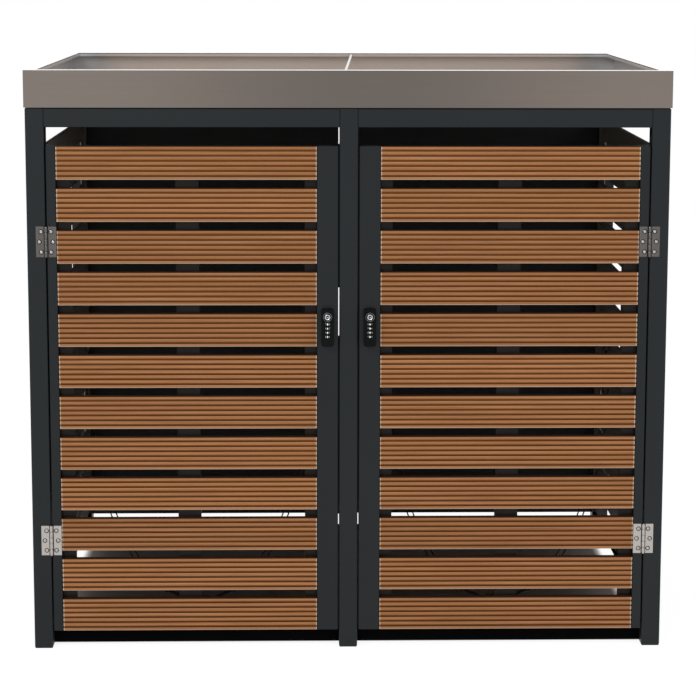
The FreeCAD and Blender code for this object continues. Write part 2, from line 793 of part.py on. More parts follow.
def dials(name, side):
    """Ten-sided number wheels, one above the other on a fixed upright shaft."""
    flat = f"dial_radius * cos({180 / DIAL_SIDES} deg)"
    centre_y = f"{FRONT} - case_thickness - dial_proud + {flat}"
    shaft = primitive(
        "Part::Cylinder", f"dial_shaft_{name}_bar", f"{side} * {LOCK_REACH}", centre_y,
        f"lock_level + {DIAL_BLOCK_BOTTOM}",
        Radius="dial_shaft_radius", Height=f"{DIAL_BLOCK_TOP} - {DIAL_BLOCK_BOTTOM}",
    )
    keep(shaft, f"dial_shaft_{name}")
    for number in range(1, 5):
        low = f"lock_level + dial_top - {number - 1} * dial_pitch - dial_thickness / 2"
        wheel = prism(
            f"wheel_{name}_{number}", DIAL_SIDES, Circumradius="dial_radius", Height="dial_thickness")
        hole = prism(
            f"wheel_bore_{name}_{number}", DIAL_SIDES,
            Circumradius=f"(dial_shaft_radius + running_clearance) / cos({180 / DIAL_SIDES} deg)",
            Height="dial_thickness",
        )
        dial = cut(f"dial_{name}_{number}_body", wheel, hole)
        place(dial, f"{side} * {LOCK_REACH}", centre_y, low)
        keep(dial, f"dial_{name}_{number}")


def lock_knob(name, side):
    """Turned knob with a raised centre, a key slot, and the shaft that carries the cam."""
    label = f"lock_knob_{name}"
    body = new_body(label)
    base = "case_thickness + knob_gap"
    rim = round_outline("0", "0", "knob_radius", KNOB_SIDES)
    pad(body, "XY", base, f"{base} + knob_thickness", [rim])
    top = f"{base} + knob_thickness + boss_height"
    pad(body, "XY", f"{base} + knob_thickness", top, [round_outline("0", "0", "boss_radius", LOCK_SIDES)])
    pad(body, "XY", f"{CAM_FRONT} - cam_sheet", base, (), [("0", "0", "shaft_radius")])
    slot = rectangle("-key_slot_length / 2", "-key_slot_width / 2", "key_slot_length / 2", "key_slot_width / 2")
    pocket(body, "XY", f"{base} + knob_thickness", top, [slot])
    keep(stand_in_lock(body, side, "knob_level"), label)


def lock_nut(name, side):
    """Square nut on the barrel, tight against the back of the stile."""
    body = new_body(f"lock_nut_{name}")
    half = "nut_size / 2"
    square = rectangle(f"-{half}", f"-{half}", half, half)
    hole = round_outline("0", "0", "barrel_radius", LOCK_SIDES)
    pad(body, "XY", "-door_depth - nut_height", "-door_depth", [square, hole])
    keep(stand_in_lock(body, side, "knob_level"), f"lock_nut_{name}")


def lock_cam(name, side):
    """Flat cam on the shaft's end. Turned down it is free; turned to the middle it is
    behind the middle post."""
    body = new_body(f"lock_cam_{name}")
    half = "cam_width / 2"
    plan = [
        (f"-{half}", "cam_width / 4"), (f"-{half}", "-cam_length + cam_width / 4"),
        ("-cam_width / 4", "-cam_length"), ("cam_width / 4", "-cam_length"),
        (half, "-cam_length + cam_width / 4"), (half, "cam_width / 4"),
        ("cam_width / 4", half), ("-cam_width / 4", half),
    ]
    pad(body, "XY", f"{CAM_FRONT} - cam_sheet", CAM_FRONT, [plan], [("0", "0", "shaft_radius")])
    keep(stand_in_lock(body, side, "knob_level"), f"lock_cam_{name}")


# Chains

def mitred_ring(centres, normal, wire):
    """Closed ring of straight many-sided bars through the centres, mitred where they meet."""
    count = len(centres)
    sections = []
    for i in range(count):
        before = (centres[i] - centres[i - 1]).normalize()
        after = (centres[(i + 1) % count] - centres[i]).normalize()
        outwards = (before - after).normalize()
        stretch = 1 / math.sqrt((1 + before.dot(after)) / 2)
        sections.append([
            centres[i] + outwards * (wire / 2 * math.cos(turn) * stretch) + normal * (wire / 2 * math.sin(turn))
            for turn in (2 * math.pi * step / WIRE_SIDES for step in range(WIRE_SIDES))
        ])
    faces = []
    for i in range(count):
        here, ahead = sections[i], sections[(i + 1) % count]
        for k in range(WIRE_SIDES):
            ahead_k = (k + 1) % WIRE_SIDES
            side = [here[k], here[ahead_k], ahead[ahead_k], ahead[k], here[k]]
            faces.append(Part.Face(Part.makePolygon(side)))
    solid = Part.Solid(Part.Shell(faces))
    if solid.Volume < 0:
        solid.reverse()
    return solid


def link(start, end, across_way, wire, width, play):
    """Long link from one joint of the chain to the next, lying in the plane that holds
    its run and across_way."""
    run = (end - start).normalize()
    flat = (across_way - run * across_way.dot(run)).normalize()
    normal = run.cross(flat)
    middle = (start + end) * 0.5
    half_length = ((end - start).Length + wire + play) / 2
    half_width = (width - wire) / 2
    nose = half_width * math.tan(math.radians(22.5))
    bend = half_length - half_width + nose
    plan = [
        (half_length, nose), (bend, half_width), (-bend, half_width), (-half_length, nose),
        (-half_length, -nose), (-bend, -half_width), (bend, -half_width), (half_length, -nose),
    ]
    centres = [middle + run * along + flat * aside for along, aside in plan]
    return mitred_ring(centres, normal, wire)


def chain_route(side):
    """Fine points down one straight drop, round a half ellipse and up the other drop."""
    low, level, bend = value("chain_low"), value("chain_level"), value("chain_bend")
    near, far = value("chain_lock_end"), value("chain_hinge_end")
    middle, half = (near + far) / 2, (far - near) / 2
    y = value(f"{DOOR_BACK} + chain_stand_off")
    steps = 400
    route = [Vector(side * near, y, level)]
    for step in range(steps + 1):
        turn = math.pi * step / steps
        route.append(Vector(
            side * (middle - half * math.cos(turn)), y, low + bend - bend * math.sin(turn)))
    route.append(Vector(side * far, y, level))
    return route


def joints_along(route, pitch):
    """Points on the route a pitch apart in a straight line, the pitch eased so that the last
    is the route's end. The links between them are odd in number, so both end links hang
    flat to the front."""
    total = sum((b - a).Length for a, b in zip(route, route[1:]))
    count = 2 * round((total / pitch - 1) / 2) + 1
    halvings = 50

    def march(step):
        points, segment = [route[0]], 0
        position = route[0]
        for _ in range(count):
            while segment < len(route) - 1 and (route[segment + 1] - points[-1]).Length < step:
                position = route[segment + 1]
                segment += 1
            if segment == len(route) - 1:
                return points, False
            low, high = 0.0, 1.0
            ahead = route[segment + 1]
            for _ in range(halvings):
                part = (low + high) / 2
                if (position + (ahead - position) * part - points[-1]).Length < step:
                    low = part
                else:
                    high = part
            position = position + (ahead - position) * low
            points.append(position)
        return points, True

    short, long = pitch / 2, pitch * 2
    for _ in range(halvings):
        step = (short + long) / 2
        points, fits = march(step)
        if fits:
            short = step
        else:
            long = step
    points, _ = march(short)
    points[-1] = route[-1]
    return points


def chain(name, side):
    wire, width, play = value("link_wire"), value("link_width"), value("link_play")
    joints = joints_along(chain_route(side), value("link_pitch"))
    edge_way = Vector(0, 1, 0)
    links = []
    for number, (start, end) in enumerate(zip(joints, joints[1:])):
        flat_way = (end - start).cross(edge_way)
        links.append(link(start, end, edge_way if number % 2 else flat_way, wire, width, play))
    item = doc.addObject("Part::Feature", f"chain_{name}_links")
    item.Shape = Part.makeCompound(links)
    keep(item, f"chain_{name}")
    print(f"chain_{name}: {len(links)} links, {(joints[1] - joints[0]).Length:.2f} mm apart")
    return joints


def bar_along_y(start, radius, length):
    """Many-sided bar from its start to the rear."""
    turns = [2 * math.pi * step / SCREW_SIDES for step in range(SCREW_SIDES)]
    rim = [start + Vector(radius * math.cos(turn), 0, radius * math.sin(turn)) for turn in turns]
    return Part.Face(Part.makePolygon(rim + rim[:1])).extrude(Vector(0, length, 0))


def chain_eyes(name, side, joints):
    """Screw eyes that the chain's end links hang in, seated on the back of the door."""
    wire, radius = value("link_wire"), value("eye_radius")
    play = value("link_play")
    eyes = []
    for end, seat in ((joints[0], f"{SLAT_BACK} + flange_sheet"), (joints[-1], SLAT_BACK)):
        middle = Vector(end.x, end.y, end.z + radius - (wire + play) / 2)
        corner = radius / math.cos(math.pi / EYE_SIDES)
        corners = [
            middle + Vector(0, corner * math.cos(turn), corner * math.sin(turn))
            for turn in (math.pi * (2 * step + 1) / EYE_SIDES for step in range(EYE_SIDES))
        ]
        ring = mitred_ring(corners, Vector(1, 0, 0), wire)
        seat_y = value(seat)
        reach = end.y - radius - seat_y
        shank = bar_along_y(Vector(end.x, seat_y, middle.z), wire / 2, reach)
        collar = bar_along_y(Vector(end.x, seat_y, middle.z), wire, value("eye_collar"))
        eyes.append(ring.fuse([shank, collar]).removeSplitter())
    item = doc.addObject("Part::Feature", f"chain_eyes_{name}_pair")
    item.Shape = Part.makeCompound([solid for eye in eyes for solid in eye.Solids])
    keep(item, f"chain_eyes_{name}")


posts()
rails()
sills()
seam_plate()
planter()
tie_rod()
seal()
hinges()
for side_name, side_sign in SIDES.items():
    side_panel(side_name, side_sign)
    back_panel(side_name, side_sign)
    door_frame(side_name, side_sign)
    end_caps(side_name, side_sign)
    slats(side_name, side_sign)
    lock_case(side_name, side_sign)
    dials(side_name, side_sign)
    lock_knob(side_name, side_sign)
    lock_nut(side_name, side_sign)
    lock_cam(side_name, side_sign)
    chain_eyes(side_name, side_sign, chain(side_name, side_sign))

doc.recompute()

failed = [item.Name for item in doc.Objects if "Invalid" in item.State or "Error" in item.State]
if failed:
    raise RuntimeError(f"objects that failed: {failed}")
for node in nodes:
    if node.Shape.isNull() or not node.Shape.isValid() or not node.Shape.Solids:
        raise RuntimeError(f"{node.Label} has no valid solid")

os.makedirs("parts", exist_ok=True)
for node in nodes:
    node.Shape.exportStep(os.path.join("parts", f"{node.Label}.step"))
    box = node.Shape.BoundBox
    print(
        f"{node.Label}: {len(node.Shape.Solids)} solids, {node.Shape.Volume / 1000:.1f} cm3, "
        f"X {box.XMin:.1f} {box.XMax:.1f} Y {box.YMin:.1f} {box.YMax:.1f} Z {box.ZMin:.1f} {box.ZMax:.1f}"
    )
print(f"{len(nodes)} nodes")
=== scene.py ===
import math

import bmesh
import bpy
from mathutils import Matrix, Vector
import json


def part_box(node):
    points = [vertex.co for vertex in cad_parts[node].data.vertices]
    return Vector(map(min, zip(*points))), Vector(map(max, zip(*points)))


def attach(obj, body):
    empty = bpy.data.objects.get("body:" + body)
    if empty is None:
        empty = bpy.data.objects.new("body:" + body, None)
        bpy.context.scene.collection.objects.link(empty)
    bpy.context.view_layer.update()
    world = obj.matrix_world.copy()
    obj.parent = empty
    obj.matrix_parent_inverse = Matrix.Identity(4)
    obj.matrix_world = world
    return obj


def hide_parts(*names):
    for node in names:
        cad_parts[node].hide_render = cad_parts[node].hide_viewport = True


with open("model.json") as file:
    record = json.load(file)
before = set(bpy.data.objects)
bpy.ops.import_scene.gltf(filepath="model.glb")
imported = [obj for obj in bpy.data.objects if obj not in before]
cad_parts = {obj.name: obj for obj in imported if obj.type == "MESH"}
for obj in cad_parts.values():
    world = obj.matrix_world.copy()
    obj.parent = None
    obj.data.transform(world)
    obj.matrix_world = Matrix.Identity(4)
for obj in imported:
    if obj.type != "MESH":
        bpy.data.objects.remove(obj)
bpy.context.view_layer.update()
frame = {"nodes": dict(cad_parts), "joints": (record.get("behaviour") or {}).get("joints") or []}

# Wheelie bin store. Metres, +Z up, the doors face -Y.

SIDES = {"left": -1, "right": 1}
TO_FRONT = Matrix.Rotation(math.radians(90), 4, "X")
TO_BACK = Matrix.Rotation(math.radians(-90), 4, "X")

# Places from the frame. Where the two sides mirror each other, they are those of the right.

JOINT_PLACES = {joint["name"]: joint["pos_m"] for joint in frame["joints"]}
PIN_X, PIN_Y, _ = JOINT_PLACES["door_right_hinge"]
LOCK_X, _, KNOB_Z = JOINT_PLACES["knob_right_turn"]
LOCK_Z = sum(corner.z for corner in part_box("lock_case_right")) / 2
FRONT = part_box("front_post_left")[0].y
TRAY_LOW, TRAY_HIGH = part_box("planter_tray")
SLATS_LOW, SLATS_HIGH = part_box("door_slats_right")
SLAT_NEAR, SLAT_FAR = SLATS_LOW.x, SLATS_HIGH.x
SLAT_BOTTOM = SLATS_LOW.z
SLAT_COUNT = 12
SLAT_HEIGHT = 0.072
SLAT_PITCH = (SLATS_HIGH.z - SLATS_LOW.z - SLAT_HEIGHT) / (SLAT_COUNT - 1)
FLANGE_BACK = FRONT + 0.018
DOOR_BACK = FRONT + 0.030


# Meshes

def add(name, data):
    item = bpy.data.objects.new(name, data)
    bpy.context.scene.collection.objects.link(item)
    return item


def mesh_object(name, vertices, faces, material=None):
    mesh = bpy.data.meshes.new(name)
    mesh.from_pydata([tuple(point) for point in vertices], [], faces)
    mesh.update()
    if material:
        mesh.materials.append(material)
    return add(name, mesh)


def reshape(item, change):
    """Puts an object's mesh through a change that works on a bmesh."""
    work = bmesh.new()
    work.from_mesh(item.data)
    change(work)
    work.to_mesh(item.data)
    work.free()
    return item


def outwards(item):
    """Turns every face outwards."""
    return reshape(item, lambda work: bmesh.ops.recalc_face_normals(work, faces=work.faces))


def settle(item, body, slot, *nodes):
    """Hangs a piece on the body that it rides on and hides the CAD nodes that it stands for. slot, its
    finish, is not used.
    """
    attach(item, body)
    if nodes:
        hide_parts(*nodes)


def finished_mesh(item):
    """The mesh that an object's modifiers, or its text, come to."""
    bpy.context.view_layer.update()
    graph = bpy.context.evaluated_depsgraph_get()
    return bpy.data.meshes.new_from_object(item.evaluated_get(graph), depsgraph=graph)


def carve(item, *tools):
    """Cuts the tools out of an object and removes them."""
    for tool in tools:
        cutter = item.modifiers.new("cut", "BOOLEAN")
        cutter.object = tool
        cutter.solver = "EXACT"
        mesh = finished_mesh(item)
        item.modifiers.clear()
        item.data = mesh
        bpy.data.objects.remove(tool)
    return item


def merge(name, items):
    """Joins objects into one mesh in the row's frame, with all their materials."""
    bpy.context.view_layer.update()
    materials = []
    vertices, faces, smooth, slots = [], [], [], []
    for item in items:
        place = item.matrix_world
        first = len(vertices)
        vertices += [place @ vertex.co for vertex in item.data.vertices]
        for face in item.data.polygons:
            faces.append([first + index for index in face.vertices])
            smooth.append(face.use_smooth)
            material = item.data.materials[face.material_index]
            if material not in materials:
                materials.append(material)
            slots.append(materials.index(material))
    whole = mesh_object(name, vertices, faces)
    for material in materials:
        whole.data.materials.append(material)
    whole.data.polygons.foreach_set("use_smooth", smooth)
    whole.data.polygons.foreach_set("material_index", slots)
    for item in items:
        bpy.data.objects.remove(item)
    return whole


def copy_of(item, place, name):
    twin = add(name, item.data)
    twin.matrix_world = place
    return twin


def loft(name, rings, material, smooth=False, closed=False):
    """Skin over rings of equal point counts, with end faces unless the rings close on
    themselves."""
    count = len(rings[0])
    vertices = [point for ring in rings for point in ring]
    faces = []
    spans = len(rings) if closed else len(rings) - 1
    for row in range(spans):
        here, ahead = row * count, (row + 1) % len(rings) * count
        for k in range(count):
            turn = (k + 1) % count
            faces.append((here + k, here + turn, ahead + turn, ahead + k))
    if not closed:
        last = (len(rings) - 1) * count
        faces.append(tuple(reversed(range(count))))
        faces.append(tuple(range(last, last + count)))
    item = outwards(mesh_object(name, vertices, faces, material))
    if smooth:
        for face in item.data.polygons:
            face.use_smooth = len(face.vertices) == 4
    return item


def lathe(name, profile, material, segments=48):
    """Turns a profile of (radius, height) points about +Z; it starts and ends on the axis
    or closes on itself."""
    rings = [
        [
            Vector((radius * math.cos(angle), radius * math.sin(angle), height))
            for angle in (2 * math.pi * step / segments for step in range(segments))
        ]
        for radius, height in profile
    ]
    closed = profile[0] == profile[-1]
    if closed:
        rings.pop()
    return loft(name, rings, material, True, closed)


def cylinder(name, radius, low, high, material, segments=48):
    return lathe(name, [(0, low), (radius, low), (radius, high), (0, high)], material, segments)


def wire_ring(centre, out, across, radius, sides):
    """Round cross-section of a wire, in the plane of two unit directions."""
    return [
        centre + out * (radius * math.cos(angle)) + across * (radius * math.sin(angle))
        for angle in (2 * math.pi * side / sides for side in range(sides))
    ]


def round_rectangle(width, height, radius, z, steps=6):
    """Corner-rounded outline at that height, anticlockwise."""
    points = []
    for number, (x, y) in enumerate(((1, 1), (-1, 1), (-1, -1), (1, -1))):
        for step in range(steps + 1):
            angle = math.pi / 2 * (number + step / steps)
            points.append(Vector((
                x * (width / 2 - radius) + radius * math.cos(angle),
                y * (height / 2 - radius) + radius * math.sin(angle), z)))
    return points


def fillet_block(name, width, height, radius, top, edge, material, steps=4):
    """Rounded block that stands on z = 0, with a rolled edge round its top face."""
    rings = [round_rectangle(width, height, radius, 0)]
    for step in range(steps + 1):
        angle = math.pi / 2 * step / steps
        inset = edge * (1 - math.cos(angle))
        z = top - edge + edge * math.sin(angle)
        rings.append(round_rectangle(width - 2 * inset, height - 2 * inset, radius - inset, z))
    return loft(name, rings, material, True)


def block(name, low, high, material, edge=0.0):
    """Box between two corners, its edges rounded by a bevel where edge is given."""
    x0, y0, z0 = low
    x1, y1, z1 = high
    vertices = [(x, y, z) for x in (x0, x1) for y in (y0, y1) for z in (z0, z1)]
    faces = [(0, 1, 3, 2), (4, 6, 7, 5), (0, 4, 5, 1), (2, 3, 7, 6), (0, 2, 6, 4), (1, 5, 7, 3)]
    item = outwards(mesh_object(name, vertices, faces, material))
    if edge:
        reshape(item, lambda work: bmesh.ops.bevel(
            work, geom=list(work.edges), offset=edge, segments=2, affect="EDGES", profile=0.5))
    return item


# Materials

class Shading:
    """Shader nodes of a material or of the world, made one by one."""

    def __init__(self, owner):
        owner.use_nodes = True
        self.nodes = owner.node_tree.nodes
        self.links = owner.node_tree.links
        self.nodes.clear()

    def node(self, kind, inputs=None, **settings):
        made = self.nodes.new("ShaderNode" + kind)
        for name, setting in settings.items():
            setattr(made, name, setting)
        for key, given in (inputs or {}).items():
            if isinstance(given, bpy.types.NodeSocket):
                self.links.new(given, made.inputs[key])
            else:
                made.inputs[key].default_value = given
        return made

    def math(self, operation, a, b=0.0):
        return self.node("Math", {0: a, 1: b}, operation=operation).outputs[0]

    def size(self, a):
        return self.math("ABSOLUTE", a)

    def plus(self, a, b):
        return self.math("ADD", a, b)

    def minus(self, a, b):
        return self.math("SUBTRACT", a, b)

    def times(self, a, b):
        return self.math("MULTIPLY", a, b)

    def over(self, a, b):
        return self.math("GREATER_THAN", a, b)

    def under(self, a, b):
        return self.math("LESS_THAN", a, b)

    def larger(self, a, b):
        return self.math("MAXIMUM", a, b)

    def smaller(self, a, b):
        return self.math("MINIMUM", a, b)


def scaled(colour, factor):
    return tuple(channel * factor for channel in colour)


class Finish(Shading):
    """A material. Places are the object's own metres, so a finish stays with its piece
    when that moves."""

    def __init__(self, name):
        self.material = bpy.data.materials.new(name)
        super().__init__(self.material)
        coordinates = self.node("TexCoord").outputs
        self.place = coordinates["Object"]
        self.xyz = self.node("SeparateXYZ", {0: self.place}).outputs
        self.facing = self.node("SeparateXYZ", {0: coordinates["Normal"]}).outputs

    def noise(self, scale, stretch=(1, 1, 1), detail=2.0, rough=0.5, shift=(0, 0, 0)):
        mapping = self.node("Mapping", {"Vector": self.place, "Location": shift, "Scale": stretch})
        return self.node("TexNoise", {
            "Vector": mapping.outputs[0], "Scale": scale, "Detail": detail, "Roughness": rough,
        }).outputs["Fac"]

    def ramp(self, factor, stops):
        made = self.node("ValToRGB", {0: factor})
        elements = made.color_ramp.elements
        while len(elements) < len(stops):
            elements.new(0.5)
        for element, (position, colour) in zip(elements, stops):
            element.position = position
            element.color = (*colour, 1)
        return made.outputs[0]

    def span(self, value, low, high, to_low=0.0, to_high=1.0, kind="LINEAR"):
        """Turns low to high into to_low to to_high, and stays at the ends beyond them."""
        return self.node("MapRange", {
            "Value": value, "From Min": low, "From Max": high, "To Min": to_low, "To Max": to_high,
        }, interpolation_type=kind).outputs[0]

    def ease(self, value, low, high, to_low=0.0, to_high=1.0):
        """As span, with soft ends."""
        return self.span(value, low, high, to_low, to_high, "SMOOTHSTEP")

    def choose(self, factor, a, b):
        """The number a where factor is 0, b where it is 1."""
        return self.node("Mix", {0: factor, 2: a, 3: b}).outputs[0]

    def mix(self, factor, a, b, blend="MIX"):
        """The colour a where factor is 0, b where it is 1."""
        a, b = ((*given, 1) if isinstance(given, tuple) else given for given in (a, b))
        return self.node("Mix", {0: factor, 6: a, 7: b}, data_type="RGBA", blend_type=blend).outputs[2]

    def bump(self, height, strength, distance):
        return self.node("Bump", {"Height": height, "Strength": strength, "Distance": distance}).outputs[0]

    def surface(self, inputs):
        shader = self.node("BsdfPrincipled", inputs)
        self.node("OutputMaterial", {"Surface": shader.outputs[0]})
        return self.material


BEHIND_SLATS = FRONT + 0.0140
# The black line at the slats' ends is painted shade, standing in for the shaded gap there.
SLAT_END_GAP, SLAT_GAP_SHADE_WIDTH = 0.0007, 0.0008
SLAT_GAP_SHADE = (0.0008, 0.0008, 0.0008)


def behind_slats(finish, tone, colour):
    """Painted shade: a darker brown tone, with the slats' bounce light in it, for what lies behind the
    slats, and a black line of painted shade in the gap at the slats' ends.
    """
    x, y, _ = finish.xyz
    tone = finish.mix(finish.over(y, BEHIND_SLATS), tone, colour)
    # A black line of painted shade where the gap at each end of the slats would be.
    for edge in (SLAT_NEAR - SLAT_END_GAP, SLAT_FAR + SLAT_END_GAP):
        from_edge = finish.size(finish.minus(finish.size(x), edge))
        tone = finish.mix(finish.under(from_edge, SLAT_GAP_SHADE_WIDTH), tone, SLAT_GAP_SHADE)
    return tone


def powder_coat(name, low, high, gloss, specular, behind=None, upward_shade=None, outer=None):
    """Powder coat: faint orange peel and broad drifts in tone. What lies behind the slats and faces
    that look up may get tones of painted shade, and the outside of the store a tone of its own."""
    finish = Finish(name)
    tone = finish.ramp(finish.noise(2.2, detail=3), [(0.3, low), (0.7, high)])
    specks = finish.span(finish.noise(1400, detail=1), 0.55, 0.8, 0.0, 0.25)
    tone = finish.mix(specks, tone, scaled(high, 1.7))
    facing_x, _, facing_z = finish.facing
    # Painted shade, tinted by the slats' bounce light, on what lies behind the slats.
    if behind:
        tone = behind_slats(finish, tone, behind)
    # Painted shade: faces that look up get a darker tone.
    if upward_shade:
        tone = finish.mix(finish.over(facing_z, 0.5), tone, upward_shade)
    if outer:
        outward = finish.times(facing_x, finish.math("SIGN", finish.xyz[0]))
        tone = finish.mix(finish.over(outward, 0.5), tone, outer)
    peel = finish.noise(620, detail=2, rough=0.6)
    return finish.surface({
        "Base Color": tone,
        "Roughness": finish.span(finish.noise(30, detail=3), 0.3, 0.7, gloss - 0.05, gloss + 0.06),
        "Specular IOR Level": specular,
        "Normal": finish.bump(peel, 0.10, 0.0004),
    })


BRUSHED_ALONG = {"x": (3, 1100, 1100), "y": (1100, 3, 1100), "z": (1100, 1100, 3)}


def brush_lines(finish, axis):
    """Fine lines along that axis."""
    return finish.noise(1.0, BRUSHED_ALONG[axis], detail=3, rough=0.7)


def satin(finish, lines, colour, streak, rough):
    """Tone and roughness of satin steel, with streaks of that strength and soft smudges."""
    smudge = finish.noise(5, detail=4, rough=0.6)
    dark, light = scaled(colour, 1 - 2.2 * streak), scaled(colour, 1 + 2.2 * streak)
    tone = finish.ramp(lines, [(0.3, dark), (0.7, light)])
    tone = finish.mix(finish.span(smudge, 0.45, 0.75, 0.0, 0.10), tone, scaled(colour, 0.82))
    from_lines = finish.span(lines, 0.3, 0.7, rough - 0.05, rough + 0.05)
    return tone, finish.plus(from_lines, finish.span(smudge, 0.3, 0.7, -0.03, 0.05))


def steel_surface(finish, tone, metallic, roughness, lines):
    return finish.surface({
        "Base Color": tone,
        "Metallic": metallic,
        "Roughness": roughness,
        "Normal": finish.bump(lines, 0.05, 0.0003),
    })


def hinge_sheet(name, colour, floor_light):
    """Satin steel brushed upright, with painted light that makes it that much lighter towards the ground.
    """
    finish = Finish(name)
    lines = brush_lines(finish, "z")
    tone, roughness = satin(finish, lines, colour, 0.06, 0.26)
    # Painted light: lower down the tone brightens, as if lit from the floor.
    floor_lit = finish.span(finish.xyz[2], 0.35, 0.80, 1.0, 0.0)
    tone = finish.mix(floor_lit, tone, scaled(colour, floor_light))
    return steel_surface(finish, tone, 0.85, roughness, lines)


TRAY_MIDDLE_Y = (TRAY_LOW.y + TRAY_HIGH.y) / 2
TRAY_HALF_DEPTH = (TRAY_HIGH.y - TRAY_LOW.y) / 2
TRAY_SKIN = 0.0008
TRAY_FLANGE = 0.0255
TRAY_TOP_ZONE = TRAY_HIGH.z - 0.0040
TRAY_LIP_ZONE = TRAY_HIGH.z - 0.0023
TRAY_INSIDE_TOP = TRAY_HIGH.z - 0.0018
# Painted highlight on the rim's top faces, and painted shade on the lip just under them.
TRAY_TOP_HIGHLIGHT = (0.95, 0.92, 0.90)
TRAY_LIP_SHADE = (0.022, 0.021, 0.021)


def planter_front(finish, tone, colour):
    """Painted reflection: the front is darker in its middle, a little right of the centre."""
    x, y, _ = finish.xyz
    centre, dark_until, plain_from, most = 0.04, 0.05, 0.60, 0.55
    middle = finish.ease(finish.size(finish.minus(x, centre)), dark_until, plain_from, 1.0, 0.0)
    on_front = finish.times(finish.under(y, FRONT - 0.0012), most)
    return finish.mix(finish.times(middle, on_front), tone, scaled(colour, 0.42))


def planter_inside(finish, tone, warm, on_side):
    """Painted light inside the planter: the floor and the far wall get a light warm tone, greyer
    towards the sides, with a painted highlight in the corners, and the side walls are painted pale."""
    x, y, z = finish.xyz
    reach = finish.size(x)
    from_side = finish.minus(TRAY_HIGH.x - TRAY_SKIN, reach)
    from_end = finish.minus(TRAY_HALF_DEPTH - TRAY_SKIN, finish.size(finish.minus(y, TRAY_MIDDLE_Y)))
    within = finish.over(finish.smaller(from_side, from_end), 0.0)
    within = finish.times(within, finish.under(z, TRAY_INSIDE_TOP))
    grey = warm[2]
    near_side = (grey * 0.86, grey * 0.86, grey * 0.87)
    # The corner tone is a painted highlight; the side tones are painted light.
    corner = (grey * 1.45, grey * 1.44, grey * 1.43)
    lit_side_wall = (grey * 1.34, grey * 1.30, grey * 1.30)
    walls = finish.mix(finish.ease(reach, 0.56, 0.66), warm, near_side)
    walls = finish.mix(finish.ease(reach, 0.60, 0.68), walls, corner)
    return finish.mix(within, tone, finish.mix(on_side, walls, lit_side_wall))


def planter_rim(finish, tone):
    """Painted highlight on the top faces, and a line of painted shade just under them, except on the
    front and the outer sides."""
    x, y, z = finish.xyz
    facing_up = finish.facing[2]
    top = finish.times(finish.over(facing_up, 0.5), finish.over(z, TRAY_TOP_ZONE))
    tone = finish.mix(top, tone, TRAY_TOP_HIGHLIGHT)
    lip = finish.times(finish.under(facing_up, 0.5), finish.over(z, TRAY_LIP_ZONE))
    lip = finish.times(lip, finish.over(y, FRONT + 0.0040))
    from_side = finish.minus(TRAY_HIGH.x - TRAY_SKIN, finish.size(x))
    return finish.mix(finish.times(lip, finish.over(from_side, 0.004)), tone, TRAY_LIP_SHADE)


def planter_sheet(name, colour, inside):
    """Satin steel brushed along each face, its top faces worn smooth; painted reflection, light and shade
    on the front, inside and rim.
    """
    finish = Finish(name)
    facing_x, _, facing_z = finish.facing
    on_side = finish.over(finish.size(facing_x), 0.6)
    at_side = finish.over(finish.size(finish.xyz[0]), TRAY_HIGH.x - TRAY_FLANGE)
    side = finish.larger(on_side, at_side)
    lines = finish.choose(side, brush_lines(finish, "x"), brush_lines(finish, "y"))
    tone, roughness = satin(finish, lines, colour, 0.03, 0.34)
    tone = planter_front(finish, tone, colour)
    tone = planter_inside(finish, tone, inside, on_side)
    tone = planter_rim(finish, tone)
    roughness = finish.choose(finish.over(facing_z, 0.8), roughness, 0.12)
    return steel_surface(finish, tone, 0.55, roughness, lines)


WOOD_STREAKS = [
    (0.28, (0.215, 0.086, 0.030)), (0.46, (0.288, 0.124, 0.048)),
    (0.60, (0.345, 0.156, 0.066)), (0.76, (0.402, 0.196, 0.091)),
]
WOOD_PALE_FIBRE = (0.42, 0.21, 0.100)
WOOD_DARK_CLOUD = (0.28, 0.108, 0.036)
WOOD_FLUTE_SHADE = (0.185, 0.058, 0.0060)
WOOD_LOWER_ARRIS_HIGHLIGHT = (0.50, 0.36, 0.26)
WOOD_SAWN_END_AND_HIGHLIGHT = (0.60, 0.46, 0.34)
WOOD_UPPER_EDGE_SHADE = (0.030, 0.010, 0.0025)
FLUTE_START, FLUTE_FULL, FLUTE_END = FRONT + 0.0003, FRONT + 0.0020, FRONT + 0.0035
ROW_MARGIN = 0.004


def wood_grain(finish, row, x):
    """Streaky brown, different on every board. Gives the tone, and the streaks and fibres
    that the relief comes from."""
    seed = finish.plus(row, finish.times(finish.math("SIGN", x), 31.0))
    shift = finish.node("CombineXYZ", {0: finish.times(seed, 3.7), 1: 0.0, 2: seed}).outputs[0]
    streaks = finish.noise(1.0, (5, 40, 320), detail=4, rough=0.62, shift=shift)
    fibres = finish.noise(1.0, (26, 300, 1500), detail=3, rough=0.7, shift=shift)
    clouds = finish.noise(1.0, (2.4, 6, 30), detail=2, shift=shift)
    tone = finish.ramp(streaks, WOOD_STREAKS)
    tone = finish.mix(finish.span(fibres, 0.35, 0.7, 0.0, 0.35), tone, WOOD_PALE_FIBRE)
    tone = finish.mix(finish.span(clouds, 0.35, 0.7, 0.0, 0.3), tone, WOOD_DARK_CLOUD)
    chance = finish.node("TexWhiteNoise", {"W": seed}, noise_dimensions="1D").outputs["Value"]
    shade = finish.span(chance, 0.0, 1.0, 0.87, 1.07)
    grey = finish.node("CombineColor", {0: shade, 1: shade, 2: shade}).outputs[0]
    return finish.mix(1.0, tone, grey, "MULTIPLY"), streaks, fibres


